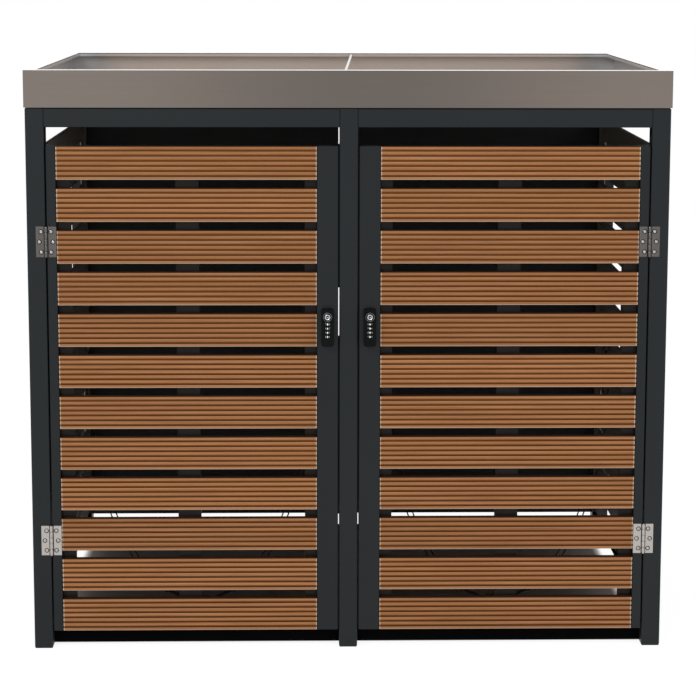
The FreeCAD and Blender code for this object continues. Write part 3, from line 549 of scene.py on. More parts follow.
def composite_wood(name):
    """Fluted decking: streaky brown along the board, painted shade in the flutes and on the upper
    edge and top faces, a painted highlight on the lower arris, and pale ends partly painted bright."""
    finish = Finish(name)
    x, y, z = finish.xyz
    from_margin = finish.minus(z, SLAT_BOTTOM - ROW_MARGIN)
    row = finish.math("FLOOR", finish.math("DIVIDE", from_margin, SLAT_PITCH))
    tone, streaks, fibres = wood_grain(finish, row, x)
    from_bottom = finish.minus(finish.minus(z, SLAT_BOTTOM), finish.times(row, SLAT_PITCH))
    from_top = finish.minus(SLAT_HEIGHT, from_bottom)
    depth = finish.ease(y, FLUTE_START, FLUTE_FULL)
    flute = finish.times(depth, finish.minus(1.0, finish.over(y, FLUTE_END)))
    flute = finish.times(flute, finish.over(finish.smaller(from_bottom, from_top), 0.002))
    # Painted shade in the flutes.
    tone = finish.mix(flute, tone, WOOD_FLUTE_SHADE)
    # Painted highlight on the lower arris.
    tone = finish.mix(finish.ease(from_bottom, 0.0010, 0.0026, 0.85, 0.0), tone, WOOD_LOWER_ARRIS_HIGHLIGHT)
    reach = finish.size(x)
    from_end = finish.smaller(finish.minus(reach, SLAT_NEAR), finish.minus(SLAT_FAR, reach))
    # Pale sawn ends, partly a painted highlight.
    tone = finish.mix(finish.ease(from_end, 0.0012, 0.0026, 0.75, 0.0), tone, WOOD_SAWN_END_AND_HIGHLIGHT)
    # Painted shade on the upper edge and on faces that look up.
    facing_up = finish.ease(finish.facing[2], 0.25, 0.6)
    top_shade = finish.larger(facing_up, finish.ease(from_top, 0.0006, 0.0016, 1.0, 0.0))
    tone = finish.mix(top_shade, tone, WOOD_UPPER_EDGE_SHADE)
    relief = finish.plus(finish.times(streaks, 0.6), finish.times(fibres, 0.4))
    return finish.surface({
        "Base Color": tone,
        "Roughness": finish.span(streaks, 0.3, 0.7, 0.62, 0.78),
        "Specular IOR Level": 0.18,
        "Normal": finish.bump(relief, 0.22, 0.0006),
    })


def moulded(name, colour, rough, grain=900, strength=0.12, specular=0.4):
    """Moulded plastic or rubber with a fine spark texture."""
    finish = Finish(name)
    drift = finish.noise(40, detail=2)
    tone = finish.ramp(drift, [(0.3, scaled(colour, 0.85)), (0.7, scaled(colour, 1.2))])
    spark = finish.noise(grain, detail=2, rough=0.6)
    return finish.surface({
        "Base Color": tone,
        "Roughness": finish.span(spark, 0.3, 0.7, rough - 0.05, rough + 0.07),
        "Specular IOR Level": specular,
        "Normal": finish.bump(spark, strength, 0.0002),
    })


def plated(name, colour, rough, drift=0.08):
    """Plating or drawn metal with a breath of unevenness."""
    finish = Finish(name)
    cloud = finish.noise(180, detail=3)
    tone = finish.ramp(cloud, [(0.3, scaled(colour, 1 - drift)), (0.7, colour)])
    return finish.surface({
        "Base Color": tone,
        "Metallic": 1.0,
        "Roughness": finish.span(cloud, 0.3, 0.7, rough * 0.7, rough * 1.4),
        "Normal": finish.bump(finish.noise(700, detail=2), 0.03, 0.0002),
    })


PAINT = powder_coat(
    "anthracite_powder_coat", (0.0095, 0.0120, 0.0138), (0.0120, 0.0146, 0.0166), 0.42, 0.20)
# The door frame's tone behind the slats is painted shade, tinted by the slats' brown bounce light.
PAINT_DOOR = powder_coat(
    "door_powder_coat", (0.0090, 0.0112, 0.0128), (0.0112, 0.0136, 0.0154), 0.42, 0.20,
    behind=(0.0070, 0.0052, 0.0040))
PAINT_INSIDE = powder_coat(
    "anthracite_sheet", (0.0250, 0.0240, 0.0240), (0.0320, 0.0305, 0.0300), 0.55, 0.25)
# Side sheets: the outer tone is the frame's anthracite; the lighter warm tone elsewhere is painted light
# from the slats' bounce, and faces that look up get painted shade.
PAINT_SIDE_LIT_INSIDE = powder_coat(
    "side_sheet", (0.2200, 0.1950, 0.1680), (0.2600, 0.2310, 0.2000), 0.62, 0.12,
    upward_shade=(0.0060, 0.0055, 0.0050), outer=(0.0120, 0.0145, 0.0165))
# The rear sill shares the frame's anthracite; this much lighter tone is painted light.
PAINT_REAR_SILL_LIT = powder_coat("rear_sill_paint", (0.1050, 0.1020, 0.0960), (0.1250, 0.1220, 0.1150), 0.6, 0.1)
# The front sill shares the frame's anthracite; this near-black tone is painted shade under the doors.
PAINT_SILL_SHADE = powder_coat("sill_paint", (0.0014, 0.0014, 0.0015), (0.0020, 0.0020, 0.0021), 0.65, 0.02)
WOOD = composite_wood("fluted_composite")
# The second colour is a lighter tone painted on the planter's inside: painted light.
STEEL = planter_sheet("planter_sheet", (0.188, 0.157, 0.138), (0.470, 0.405, 0.362))
HINGE = hinge_sheet("hinge_sheet", (0.122, 0.113, 0.106), 3.6)
ROD = plated("drawn_rod", (0.80, 0.78, 0.75), 0.22)
ZINC = plated("zinc_screw", (0.40, 0.40, 0.39), 0.30, 0.15)
SCREW_FACE = plated("screw_face", (0.50, 0.49, 0.48), 0.30, 0.12)
CHAIN = plated("chain_zinc", (0.024, 0.024, 0.025), 0.42, 0.25)
CHROME = plated("chrome", (0.50, 0.50, 0.51), 0.20)
RIM = plated("knob_rim", (0.30, 0.30, 0.31), 0.30)
FOOT = moulded("foot_plastic", (0.010, 0.010, 0.010), 0.55)
CAP = moulded("end_cap_plastic", (0.012, 0.013, 0.014), 0.5)
SEAL = moulded("foam_tape", (0.006, 0.006, 0.006), 0.85, 400, 0.4, 0.2)
LOCK = moulded("lock_housing", (0.0026, 0.0042, 0.0034), 0.55, specular=0.07)
DIAL = moulded("dial_plastic", (0.0075, 0.0075, 0.008), 0.3, 1200, 0.05)
NUMERAL = moulded("dial_numeral", (0.92, 0.92, 0.90), 0.4, 900, 0.05)
# Near-black for grooves and the hinge arms; on the arms it is painted shade beside the knuckles.
GROOVE_SHADE_BLACK = moulded("groove_shade_black", (0.004, 0.004, 0.004), 0.6)


# The CAD pieces, found by how their names start: finish, and the bevel on their edges.
# Those without a bevel are small, round, or replaced below.

CAD_LOOKS = [
    ("front_post", PAINT, 0.0005), ("rear_post", PAINT, 0.0005), ("front_top_rail", PAINT, 0.0006),
    ("side_top_rail", PAINT, 0.0006), ("rear_top_rail", PAINT, 0.0006), ("middle_top_rail", PAINT, 0.0006),
    ("foot_plugs", FOOT, 0.0006), ("sill_angle", PAINT_SILL_SHADE, 0.0006), ("rear_sill", PAINT_REAR_SILL_LIT, 0.0006),
    ("side_panel", PAINT_SIDE_LIT_INSIDE, 0.0007), ("back_panel", PAINT_INSIDE, 0.0007),
    ("back_seam_plate", PAINT_INSIDE, 0.0004), ("planter_tray", STEEL, 0.0006),
    ("tray_tie_rod", ROD, 0), ("tray_seal", SEAL, 0),
    ("door_frame", PAINT_DOOR, 0.0005), ("door_slats", WOOD, 0.0004), ("door_end_caps", CAP, 0.0005),
    ("hinge", HINGE, 0), ("lock_case", LOCK, 0), ("lock_knob", CHROME, 0), ("lock_nut", ZINC, 0),
    ("lock_cam", ZINC, 0), ("dial_shaft", ZINC, 0), ("dial_", DIAL, 0), ("chain", CHAIN, 0),
]


def soften(item, width):
    """Small bevel on an object's sharp edges, with its flat faces shaded flat."""
    weld = item.modifiers.new("weld", "WELD")
    weld.merge_threshold = 0.00002
    bevel = item.modifiers.new("bevel", "BEVEL")
    bevel.width = width
    bevel.segments = 2
    bevel.limit_method = "ANGLE"
    bevel.angle_limit = math.radians(30)
    normals = item.modifiers.new("normals", "WEIGHTED_NORMAL")
    normals.weight = 60


for node_name, item in frame["nodes"].items():
    material, width = next(look[1:] for look in CAD_LOOKS if node_name.startswith(look[0]))
    item.data.materials.clear()
    item.data.materials.append(material)
    if width:
        soften(item, width)


# Hinges

HINGE_LEVELS = {"upper": 0.904, "lower": 0.245}
LEAF_HEIGHT, LEAF_REACH, LEAF_SHEET = 0.066, 0.022, 0.002
LEAF_START = 0.0048
KNUCKLE_RADIUS, KNUCKLE_ROUND, KNUCKLE_BORE = 0.0035, 0.0007, 0.0016
KNUCKLE_GAP = 0.0003
KNUCKLE_COUNT = 5
KNUCKLE_HEIGHT = (LEAF_HEIGHT - (KNUCKLE_COUNT - 1) * KNUCKLE_GAP) / KNUCKLE_COUNT
POST_KNUCKLES, DOOR_KNUCKLES = (0, 2, 4), (1, 3)
ARM_REACH, ARM_SHEET, ARM_INSET = 0.0050, 0.0012, 0.0006
PIN_RADIUS, PIN_HEAD = 0.0015, 0.0023
SCREW_REACH, SCREW_STAGGER, SCREW_SPACING = 0.0105, 0.004, 0.022
SCREW_RADIUS, SCREW_NECK, SCREW_DEPTH, SCREW_RISE = 0.0034, 0.0019, 0.0019, 0.0008
SCREW_LEVEL = 0.0019
SINK_RADIUS, SINK_DEPTH = 0.0051, 0.0003


def screw_head(material, radius, neck, depth, rise):
    """Raised countersunk head with a cross recess, its rim in the plane z = 0."""
    profile = [(0, -depth), (neck, -depth), (radius - 0.0002, -0.0002), (radius, 0.0)]
    profile += [(radius * math.cos(t), rise * math.sin(t)) for t in (0.25, 0.55, 0.85, 1.15, 1.4)]
    profile += [(0, rise)]
    head = lathe("screw", profile, material, 32)
    long, short = radius * 0.52, radius * 0.11
    tools = []
    for turn in (20, 110):
        tool = block("recess", (-long, -short, -0.0006), (long, short, rise * 2), GROOVE_SHADE_BLACK)
        tool.matrix_world = Matrix.Rotation(math.radians(turn), 4, "Z")
        tools.append(tool)
    return carve(head, *tools)


def leaf_screw_places(side, way, level):
    """Number, x and z of a leaf's three screws, the middle one farther from the pin."""
    for number, stagger in ((-1, 0.0), (0, SCREW_STAGGER), (1, 0.0)):
        yield number, side * PIN_X + side * way * (SCREW_REACH + stagger), level + number * SCREW_SPACING


def hinge_leaf(name, side, level, way, knuckles):
    """Plate and knuckles in the row's frame. way is 1 towards the outside of the store."""
    def x_at(reach):
        return side * PIN_X + side * way * reach

    bottom = level - LEAF_HEIGHT / 2
    low_x, high_x = sorted((x_at(LEAF_START), x_at(LEAF_REACH)))
    low, high = (low_x, FRONT - LEAF_SHEET, bottom), (high_x, FRONT, bottom + LEAF_HEIGHT)
    plate = block("plate", low, high, HINGE, 0.0003)
    for _, x, z in leaf_screw_places(side, way, level):
        cone = lathe("sink", [
            (0, -0.0025), (SCREW_NECK, -0.0025), (SINK_RADIUS, -SINK_DEPTH), (SINK_RADIUS, 0.001),
            (0, 0.001),
        ], GROOVE_SHADE_BLACK, 32)
        cone.matrix_world = Matrix.Translation((x, FRONT - LEAF_SHEET, z)) @ TO_FRONT
        carve(plate, cone)
    pieces = [plate]
    r, e, height = KNUCKLE_RADIUS, KNUCKLE_ROUND, KNUCKLE_HEIGHT
    for number in knuckles:
        low_z = bottom + number * (height + KNUCKLE_GAP)
        low_x, high_x = sorted((x_at(0.0), x_at(ARM_REACH)))
        low = (low_x, FRONT - ARM_SHEET, low_z + ARM_INSET)
        high = (high_x, FRONT, low_z + height - ARM_INSET)
        # The arm is steel like the leaf; its near-black finish is painted shade.
        pieces.append(block("arm", low, high, GROOVE_SHADE_BLACK, 0.0002))
        tube = lathe("knuckle", [
            (KNUCKLE_BORE, 0), (r - e, 0), (r, e),
            (r, height - e), (r - e, height), (KNUCKLE_BORE, height), (KNUCKLE_BORE, 0),
        ], HINGE, 40)
        tube.matrix_world = Matrix.Translation((side * PIN_X, PIN_Y, low_z))
        pieces.append(tube)
    return merge(name, pieces)


def leaf_screws(name, side, way):
    """The screws of one side's upper and lower leaf, each turned its own way."""
    heads = []
    for level in HINGE_LEVELS.values():
        for number, x, z in leaf_screw_places(side, way, level):
            turned = math.radians(37 * number + 23 * side + 61 * way + 200 * level)
            place = Matrix.Translation((x, FRONT - SCREW_LEVEL, z)) @ TO_FRONT
            heads.append(copy_of(SCREW, place @ Matrix.Rotation(turned, 4, "Z"), "head"))
    return merge(name, heads)


def hinge_pin(side, level):
    """Pin with a flat head at each end."""
    top_half = [
        (PIN_RADIUS, 0.0330), (PIN_HEAD, 0.0331), (PIN_HEAD, 0.0334), (0.0019, 0.0338), (0, 0.0338),
    ]
    low_half = [(radius, -height) for radius, height in reversed(top_half)]
    pin = lathe("pin", low_half + top_half, HINGE, 32)
    pin.matrix_world = Matrix.Translation((side * PIN_X, PIN_Y, level))
    return pin


SCREW = screw_head(SCREW_FACE, SCREW_RADIUS, SCREW_NECK, SCREW_DEPTH, SCREW_RISE)
post_leaves, post_screws, pins = [], [], []
for side_name, side in SIDES.items():
    door = f"door_{side_name}"
    door_leaves = []
    for height, level in HINGE_LEVELS.items():
        post_leaves.append(hinge_leaf(f"leaf_post_{side_name}_{height}", side, level, 1, POST_KNUCKLES))
        door_leaves.append(hinge_leaf(f"leaf_door_{side_name}_{height}", side, level, -1, DOOR_KNUCKLES))
        pins.append(hinge_pin(side, level))
    leaves = merge(f"door_leaves_{side_name}", door_leaves)
    settle(leaves, door, "hinge_steel", f"hinge_door_leaves_{side_name}")
    screws = leaf_screws(f"door_leaf_screws_{side_name}", side, -1)
    settle(screws, door, "screw_steel", f"hinge_door_screws_{side_name}")
    post_screws.append(leaf_screws(f"post_heads_{side_name}", side, 1))
settle(merge("post_leaves", post_leaves), "frame", "hinge_steel", "hinge_post_leaves")
settle(merge("post_leaf_screws", post_screws), "frame", "screw_steel", "hinge_post_screws")
settle(merge("leaf_pins", pins), "frame", "hinge_steel", "hinge_pins")
bpy.data.objects.remove(SCREW)


# Locks. They are modelled lying down, face up, and stood against the stile.

CASE_WIDTH, CASE_HEIGHT, CASE_DEPTH = 0.026, 0.081, 0.018
CASE_CORNER, CASE_ROUND = 0.0052, 0.0026
KNOB_LIFT = KNOB_Z - LOCK_Z
KNOB_BASE, KNOB_TOP = 0.0182, 0.0252
KEY_HALF_LENGTH, KEY_HALF_WIDTH = 0.0026, 0.0006
KNOB_SHAFT, SHAFT_TAIL = 0.0040, 0.0445
BARREL, BARREL_BORE, BARREL_TAIL = 0.008, 0.00425, 0.0405
SEAT_RADIUS, SEAT_DEPTH = 0.0109, 0.0008
POCKET_GAP, POCKET_HALF_HEIGHT = 0.0003, 0.0040
DIAL_COUNT, DIAL_SIDES = 4, 10
DIAL_PITCH, DIAL_TOP, DIAL_HEIGHT, DIAL_RADIUS = 0.0092, 0.0087, 0.0074, 0.0085
DIAL_BORE = 0.0016
DIAL_PROUD = 0.0006
DIAL_AXIS = CASE_DEPTH + DIAL_PROUD - DIAL_RADIUS * math.cos(math.pi / DIAL_SIDES)
DIAL_STEP = 360 / DIAL_SIDES
FLAT_HALF_ANGLE, FLAT_CORNER, NOTCH = 15.5, DIAL_RADIUS - 0.0001, DIAL_RADIUS - 0.0007
WHEEL_EDGE, WHEEL_CHAMFER = 0.0005, 0.0007
NUMERAL_HEIGHT, NUMERAL_WEIGHT, NUMERAL_RELIEF = 0.0046, 0.00034, 0.00005
SHOWN = {"left": (8, 6, 8, 9), "right": (6, 8, 9, 8)}


def lock_case(name, side):
    """Case with a pocket for each dial and a seat for the knob, and its barrel."""
    case = fillet_block("case", CASE_WIDTH, CASE_HEIGHT, CASE_CORNER, CASE_DEPTH, CASE_ROUND, LOCK)
    tools = []
    for number in range(DIAL_COUNT):
        pocket = cylinder(
            "pocket", DIAL_RADIUS + POCKET_GAP, -POCKET_HALF_HEIGHT, POCKET_HALF_HEIGHT, GROOVE_SHADE_BLACK, 64)
        pocket.matrix_world = Matrix.Translation((0, DIAL_TOP - number * DIAL_PITCH, DIAL_AXIS)) @ TO_FRONT
        tools.append(pocket)
    seat = cylinder("seat", SEAT_RADIUS, CASE_DEPTH - SEAT_DEPTH, 0.02, LOCK)
    bore = cylinder("bore", BARREL_BORE, -0.001, 0.02, LOCK, 32)
    barrel = lathe("barrel", [
        (BARREL_BORE, -BARREL_TAIL), (BARREL - 0.0004, -BARREL_TAIL), (BARREL, 0.0004 - BARREL_TAIL),
        (BARREL, 0.0), (BARREL_BORE, 0.0), (BARREL_BORE, -BARREL_TAIL),
    ], ZINC, 40)
    for item in (seat, bore, barrel):
        item.matrix_world = Matrix.Translation((0, KNOB_LIFT, 0))
    whole = merge(name, [carve(case, *tools, seat, bore), barrel])
    whole.data.transform(Matrix.Translation((side * LOCK_X, FRONT, LOCK_Z)) @ TO_FRONT)
    return whole


def numeral(digit):
    curve = bpy.data.curves.new("numeral", "FONT")
    curve.body = str(digit)
    curve.size = NUMERAL_HEIGHT
    curve.extrude = NUMERAL_RELIEF
    curve.offset = NUMERAL_WEIGHT
    curve.align_x = "CENTER"
    curve.align_y = "CENTER"
    curve.resolution_u = 4
    text = add("numeral", curve)
    mesh = finished_mesh(text)
    bpy.data.objects.remove(text)
    mesh.materials.clear()
    mesh.materials.append(NUMERAL)
    return add("numeral", mesh)


def dial_wheel():
    """Ten flats, one of them towards -Y, with grip notches between them."""
    corners = ((-FLAT_HALF_ANGLE, FLAT_CORNER), (FLAT_HALF_ANGLE, FLAT_CORNER), (DIAL_STEP / 2, NOTCH))
    levels = (
        (WHEEL_CHAMFER, 0.0), (0.0, WHEEL_EDGE),
        (0.0, DIAL_HEIGHT - WHEEL_EDGE), (WHEEL_CHAMFER, DIAL_HEIGHT),
    )
    rings = []
    for inset, z in levels:
        ring = []
        for flat in range(DIAL_SIDES):
            for away, radius in corners:
                angle = math.radians(DIAL_STEP * (flat + 0.5) + away)
                reach = radius - inset
                ring.append(Vector((reach * math.cos(angle), reach * math.sin(angle), z)))
        rings.append(ring)
    return carve(loft("wheel", rings, DIAL), cylinder("bore", DIAL_BORE, -0.001, 0.01, DIAL, 24))


def dial(name, side, number, shown):
    """Wheel with a numeral on each flat, the shown one in front."""
    pieces = [dial_wheel()]
    face = FLAT_CORNER * math.cos(math.radians(FLAT_HALF_ANGLE))
    upright = Matrix.Rotation(math.radians(90), 4, "Z") @ TO_FRONT
    for digit in range(DIAL_SIDES):
        mark = numeral(digit)
        turn = math.radians(-90 + DIAL_STEP * ((digit - shown) % DIAL_SIDES))
        out = Matrix.Translation((face, 0, DIAL_HEIGHT / 2))
        mark.matrix_world = Matrix.Rotation(turn, 4, "Z") @ out @ upright
        pieces.append(mark)
    whole = merge(name, pieces)
    low = LOCK_Z + DIAL_TOP - number * DIAL_PITCH - DIAL_HEIGHT / 2
    whole.data.transform(Matrix.Translation((side * LOCK_X, FRONT - DIAL_AXIS, low)))
    return whole


def lock_knob(name, side):
    """Knob with a bright rim and boss, a key slot, and its shaft through the stile."""
    base, top = KNOB_BASE, KNOB_TOP
    skirt = lathe("skirt", [
        (0.0040, base), (0.0094, base), (0.0100, base + 0.0006), (0.0100, base + 0.0030),
        (0.0097, base + 0.0036), (0.0086, base + 0.0036), (0.0082, base + 0.0030), (0.0082, base + 0.0010),
        (0.0040, base + 0.0010), (0.0040, base),
    ], LOCK, 64)
    ring = lathe("ring", [
        (0.0088, base + 0.0034), (0.0096, base + 0.0034), (0.0096, base + 0.0037), (0.0094, base + 0.0040),
        (0.0090, base + 0.0040), (0.0088, base + 0.0037), (0.0088, base + 0.0034),
    ], RIM, 64)
    boss = lathe("boss", [
        (0, base), (0.0060, base), (0.0064, base + 0.0004), (0.0065, top - 0.0016), (0.0061, top - 0.0005),
        (0.0054, top), (0.0046, top - 0.0001), (0.0038, top - 0.0009), (0, top - 0.0012),
    ], CHROME)
    face = lathe("face", [
        (0, top - 0.0016), (0.0034, top - 0.0016), (0.0034, top - 0.0008), (0.0030, top - 0.0006),
        (0, top - 0.0005),
    ], LOCK, 32)
    long, short = KEY_HALF_LENGTH, KEY_HALF_WIDTH
    key = block("key_slot", (-long, -short, top - 0.0020), (long, short, top + 0.001), GROOVE_SHADE_BLACK)
    shaft = lathe("shaft", [
        (0, -SHAFT_TAIL), (KNOB_SHAFT - 0.0004, -SHAFT_TAIL), (KNOB_SHAFT, 0.0004 - SHAFT_TAIL),
        (KNOB_SHAFT, base + 0.001), (0, base + 0.001),
    ], ZINC, 32)
    whole = merge(name, [boss, skirt, ring, carve(face, key), shaft])
    whole.data.transform(Matrix.Translation((side * LOCK_X, FRONT, KNOB_Z)) @ TO_FRONT)
    return whole


for side_name, side in SIDES.items():
    case = lock_case(f"case_{side_name}", side)
    settle(case, f"door_{side_name}", "lock_black", f"lock_case_{side_name}")
    knob = lock_knob(f"knob_turned_{side_name}", side)
    settle(knob, f"knob_{side_name}", "knob_chrome", f"lock_knob_{side_name}")
    for number, shown in enumerate(SHOWN[side_name]):
        node = f"dial_{side_name}_{number + 1}"
        settle(dial(f"wheel_{side_name}_{number + 1}", side, number, shown), node, "dial_black", node)


# A second seam plate, above the solid one, leaves the seams beside the rear middle post
# open between the two.

SEAM_COVER_LOW, SEAM_COVER_HIGH = 0.675, 1.044
plate_low, plate_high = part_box("back_seam_plate")
cover_low = (plate_low.x, plate_low.y, SEAM_COVER_LOW)
cover_high = (plate_high.x, plate_high.y, SEAM_COVER_HIGH)
settle(block("seam_cover", cover_low, cover_high, PAINT_INSIDE, 0.0004), "frame", "frame_paint")


# Chains: the same joints as the solid links, with round bent wire

CHAIN_NEAR, CHAIN_FAR = 0.088, 0.566
CHAIN_LEVEL, CHAIN_LOW, CHAIN_BEND = 0.705, 0.096, 0.500
CHAIN_Y = DOOR_BACK + 0.0105
LINK_PITCH, LINK_WIDTH, LINK_WIRE, LINK_OVERLAP = 0.050, 0.0145, 0.0029, 0.0030
EYE_RADIUS, EYE_WIRE_RADIUS, EYE_HANG = 0.0075, 0.00145, 0.0017
EYE_SEATS = (FLANGE_BACK, FRONT + 0.015)


def chain_route(side, steps=400):
    """From both ends straight down into half an ellipse."""
    middle, half = (CHAIN_NEAR + CHAIN_FAR) / 2, (CHAIN_FAR - CHAIN_NEAR) / 2
    route = [Vector((side * CHAIN_NEAR, CHAIN_Y, CHAIN_LEVEL))]
    for step in range(steps + 1):
        turn = math.pi * step / steps
        z = CHAIN_LOW + CHAIN_BEND - CHAIN_BEND * math.sin(turn)
        route.append(Vector((side * (middle - half * math.cos(turn)), CHAIN_Y, z)))
    route.append(Vector((side * CHAIN_FAR, CHAIN_Y, CHAIN_LEVEL)))
    return route


def march(route, step, count):
    """Points that far apart in a straight line along the route, up to that many steps, and
    whether the route was long enough."""
    points, segment, position = [route[0]], 0, route[0]
    for _ in range(count):
        while segment < len(route) - 1 and (route[segment + 1] - points[-1]).length < step:
            segment += 1
            position = route[segment]
        if segment == len(route) - 1:
            return points, False
        low, high, ahead = 0.0, 1.0, route[segment + 1]
        for _ in range(40):
            part = (low + high) / 2
            if (position + (ahead - position) * part - points[-1]).length < step:
                low = part
            else:
                high = part
        position = position + (ahead - position) * low
        points.append(position)
    return points, True


def joints_along(route, pitch):
    """The joints of an odd number of links, the pitch eased to end where the route does."""
    total = sum((b - a).length for a, b in zip(route, route[1:]))
    count = 2 * round((total / pitch - 1) / 2) + 1
    short, long = pitch / 2, pitch * 2
    for _ in range(50):
        step = (short + long) / 2
        if march(route, step, count)[1]:
            short = step
        else:
            long = step
    points, _ = march(route, short, count)
    points[-1] = route[-1]
    return points


def wire_link(name, length, bend_steps=7, sides=10):
    """Long link in the XY plane, its length along X."""
    half_width = (LINK_WIDTH - LINK_WIRE) / 2
    straight = (length - LINK_WIRE) / 2 - half_width
    centres = []
    for sign in (1, -1):
        for step in range(bend_steps + 1):
            angle = math.radians(180 * step / bend_steps - 90 * sign)
            x = sign * straight + half_width * math.cos(angle)
            centres.append(Vector((x, half_width * math.sin(angle), 0)))
    rings = []
    for i, centre in enumerate(centres):
        run = (centres[(i + 1) % len(centres)] - centres[i - 1]).normalized()
        out = Vector((run.y, -run.x, 0))
        rings.append(wire_ring(centre, out, Vector((0, 0, 1)), LINK_WIRE / 2, sides))
    return loft(name, rings, CHAIN, True, True)


def chain(name, joints):
    """Links between the joints, every second one edge on."""
    one = wire_link("link", (joints[1] - joints[0]).length + LINK_OVERLAP)
    links = []
    for number, (start, end) in enumerate(zip(joints, joints[1:])):
        run = (end - start).normalized()
        edge_way = Vector((0, 1, 0))
        flat = edge_way if number % 2 else run.cross(edge_way)
        flat = (flat - run * flat.dot(run)).normalized()
        turn = Matrix((run, flat, run.cross(flat))).transposed().to_4x4()
        links.append(copy_of(one, Matrix.Translation((start + end) / 2) @ turn, "link"))
    bpy.data.objects.remove(one)
    return merge(name, links)


def screw_eyes(name, joints, turns=28, sides=12):
    """An eye and its shank at each end of the chain."""
    wire = EYE_WIRE_RADIUS
    eyes = []
    for end, seat in zip((joints[0], joints[-1]), EYE_SEATS):
        middle = Vector((end.x, end.y, end.z + EYE_RADIUS - EYE_HANG))
        rings = []
        for turn in range(turns):
            angle = 2 * math.pi * turn / turns
            out = Vector((0, math.cos(angle), math.sin(angle)))
            rings.append(wire_ring(middle + out * EYE_RADIUS, out, Vector((1, 0, 0)), wire, sides))
        eyes.append(loft("eye", rings, CHAIN, True, True))
        reach = end.y - EYE_RADIUS - seat
        shank = lathe("shank", [
            (0, 0), (0.0030, 0), (0.0030, 0.0011), (0.0026, 0.0015),
            (wire, 0.0017), (wire, reach), (0, reach),
        ], CHAIN, 24)
        shank.matrix_world = Matrix.Translation((end.x, seat, middle.z)) @ TO_BACK
        eyes.append(shank)
    return merge(name, eyes)


for side_name, side in SIDES.items():
    door = f"door_{side_name}"
    joints = joints_along(chain_route(side), LINK_PITCH)
    settle(chain(f"chain_links_{side_name}", joints), door, "chain_steel", f"chain_{side_name}")
    eyes = screw_eyes(f"chain_screw_eyes_{side_name}", joints)
    settle(eyes, door, "chain_steel", f"chain_eyes_{side_name}")


# Screws that hold the slats, seen from behind, each turned its own way

SLAT_SCREW_COLUMNS = ((0.0820, FLANGE_BACK), (0.3475, DOOR_BACK), (0.6050, FLANGE_BACK))
SLAT_SCREW_LIFT = 0.020

PAN = screw_head(ZINC, 0.0042, 0.0020, 0.0002, 0.0017)
for side_name, side in SIDES.items():
    heads = []
    for row in range(SLAT_COUNT):
        middle = SLAT_BOTTOM + row * SLAT_PITCH + SLAT_HEIGHT / 2
        for reach, y in SLAT_SCREW_COLUMNS:
            for lift in (-SLAT_SCREW_LIFT, SLAT_SCREW_LIFT):
                turned = row * 1.3 + lift * 40 + reach * 9
                place = Matrix.Translation((side * reach, y, middle + lift)) @ TO_BACK
                heads.append(copy_of(PAN, place @ Matrix.Rotation(turned, 4, "Z"), "head"))
    settle(merge(f"slat_screws_{side_name}", heads), f"door_{side_name}", "screw_steel")
bpy.data.objects.remove(PAN)


# Camera, floor, light

WHITE = (1, 1, 1, 1)
CAMERA_PLACE = (-0.0754, -4.7240, 1.4983)
CAMERA_YAW, CAMERA_PITCH, CAMERA_ROLL = 1.2329, 7.7356, 0.1357
CAMERA_LENS, CAMERA_SENSOR = 104.72, 36
CAMERA_SHIFT = (-0.0128, -0.1582)
FLOOR_REACH = 60
FLOOR_GLOW = 1.13
FLOOR_TONES = [(0.3, (0.78, 0.78, 0.78)), (0.7, (0.82, 0.82, 0.82))]
# Painted shadow on the floor under the store.
FLOOR_PAINTED_SHADOW = (0.190, 0.165, 0.152)
FOOTPRINT_HALF_WIDTH, FOOTPRINT_HALF_DEPTH, FOOTPRINT_MIDDLE_Y = 0.655, 0.385, 0.020
AIR_LIGHT = 0.62


def aim_camera():
    data = bpy.data.cameras.new("camera")
    camera = add("camera", data)
    yaw, pitch, roll = (math.radians(angle) for angle in (CAMERA_YAW, CAMERA_PITCH, CAMERA_ROLL))
    ahead = Vector((math.sin(yaw) * math.cos(pitch), math.cos(yaw) * math.cos(pitch), -math.sin(pitch)))
    level = Vector((math.cos(yaw), -math.sin(yaw), 0))
    above = level.cross(ahead)
    right = level * math.cos(roll) + above * math.sin(roll)
    up = above * math.cos(roll) - level * math.sin(roll)
    turn = Matrix((right, up, -ahead)).transposed().to_4x4()
    camera.matrix_world = Matrix.Translation(CAMERA_PLACE) @ turn
    data.lens = CAMERA_LENS
    data.sensor_width = CAMERA_SENSOR
    data.shift_x, data.shift_y = CAMERA_SHIFT
    data.clip_start = 0.05
    data.clip_end = 200
    bpy.context.scene.camera = camera


def pale_ray(shading):
    """1 for the rays that should see white: the camera's, reflections and glass."""
    path = shading.node("LightPath").outputs
    seen = shading.larger(path["Is Camera Ray"], path["Is Glossy Ray"])
    return shading.larger(seen, path["Is Transmission Ray"])


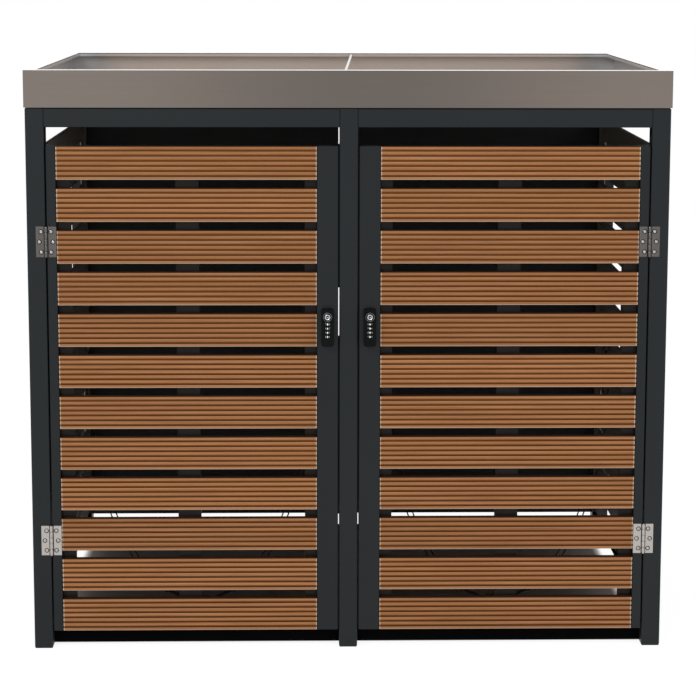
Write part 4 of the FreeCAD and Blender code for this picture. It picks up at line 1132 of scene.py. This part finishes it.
def lay_floor():
    """Pale floor, white where it is seen beyond the store, with a painted shadow under it."""
    finish = Finish("pale_floor")
    x, y, _ = finish.xyz
    beyond_side = finish.minus(finish.size(x), FOOTPRINT_HALF_WIDTH)
    beyond_end = finish.minus(finish.size(finish.minus(y, FOOTPRINT_MIDDLE_Y)), FOOTPRINT_HALF_DEPTH)
    beyond = finish.larger(beyond_side, beyond_end)
    clear = finish.ease(beyond, -0.004, 0.012, 0.0, 0.8)
    tone = finish.ramp(finish.noise(3.0, detail=3), FLOOR_TONES)
    # Painted shadow under the store.
    tone = finish.mix(finish.ease(beyond, -0.016, 0.004, 1.0, 0.0), tone, FLOOR_PAINTED_SHADOW)
    matt = finish.node("BsdfDiffuse", {"Color": tone}).outputs[0]
    glow = finish.node("Emission", {"Color": WHITE, "Strength": FLOOR_GLOW}).outputs[0]
    lit = finish.times(clear, pale_ray(finish))
    both = finish.node("MixShader", {0: lit, 1: matt, 2: glow}).outputs[0]
    finish.node("OutputMaterial", {"Surface": both})
    far = FLOOR_REACH
    corners = [(-far, -far, 0), (far, -far, 0), (far, far, 0), (-far, far, 0)]
    mesh_object("floor", corners, [(0, 1, 2, 3)], finish.material)


def light_world():
    """Soft light from all round, white where it is seen."""
    world = bpy.data.worlds.new("world")
    bpy.context.scene.world = world
    shading = Shading(world)
    plain = shading.node("Background", {"Color": WHITE, "Strength": AIR_LIGHT}).outputs[0]
    white = shading.node("Background", {"Color": WHITE, "Strength": 1.0}).outputs[0]
    both = shading.node("MixShader", {0: pale_ray(shading), 1: plain, 2: white}).outputs[0]
    shading.node("OutputWorld", {"Surface": both})


def soft_lamp(name, place, size, power, mirrored=False):
    """Rectangular lamp that points at the middle of the store."""
    data = bpy.data.lights.new(name, "AREA")
    data.shape = "RECTANGLE"
    data.size, data.size_y = size
    data.energy = power
    lamp = add(name, data)
    lamp.location = place
    lamp.rotation_mode = "QUATERNION"
    lamp.rotation_quaternion = (Vector((0, 0, 0.6)) - Vector(place)).to_track_quat("-Z", "Y")
    lamp.visible_camera = False
    lamp.visible_glossy = mirrored


aim_camera()
lay_floor()
light_world()
soft_lamp("key", (-2.6, -4.2, 4.2), (2.6, 2.0), 120, True)
soft_lamp("fill", (3.4, -3.6, 2.4), (2.2, 2.2), 55)
soft_lamp("top", (0.2, -0.4, 4.6), (3.0, 2.4), 55)

view = bpy.context.scene.view_settings
view.view_transform = "Standard"
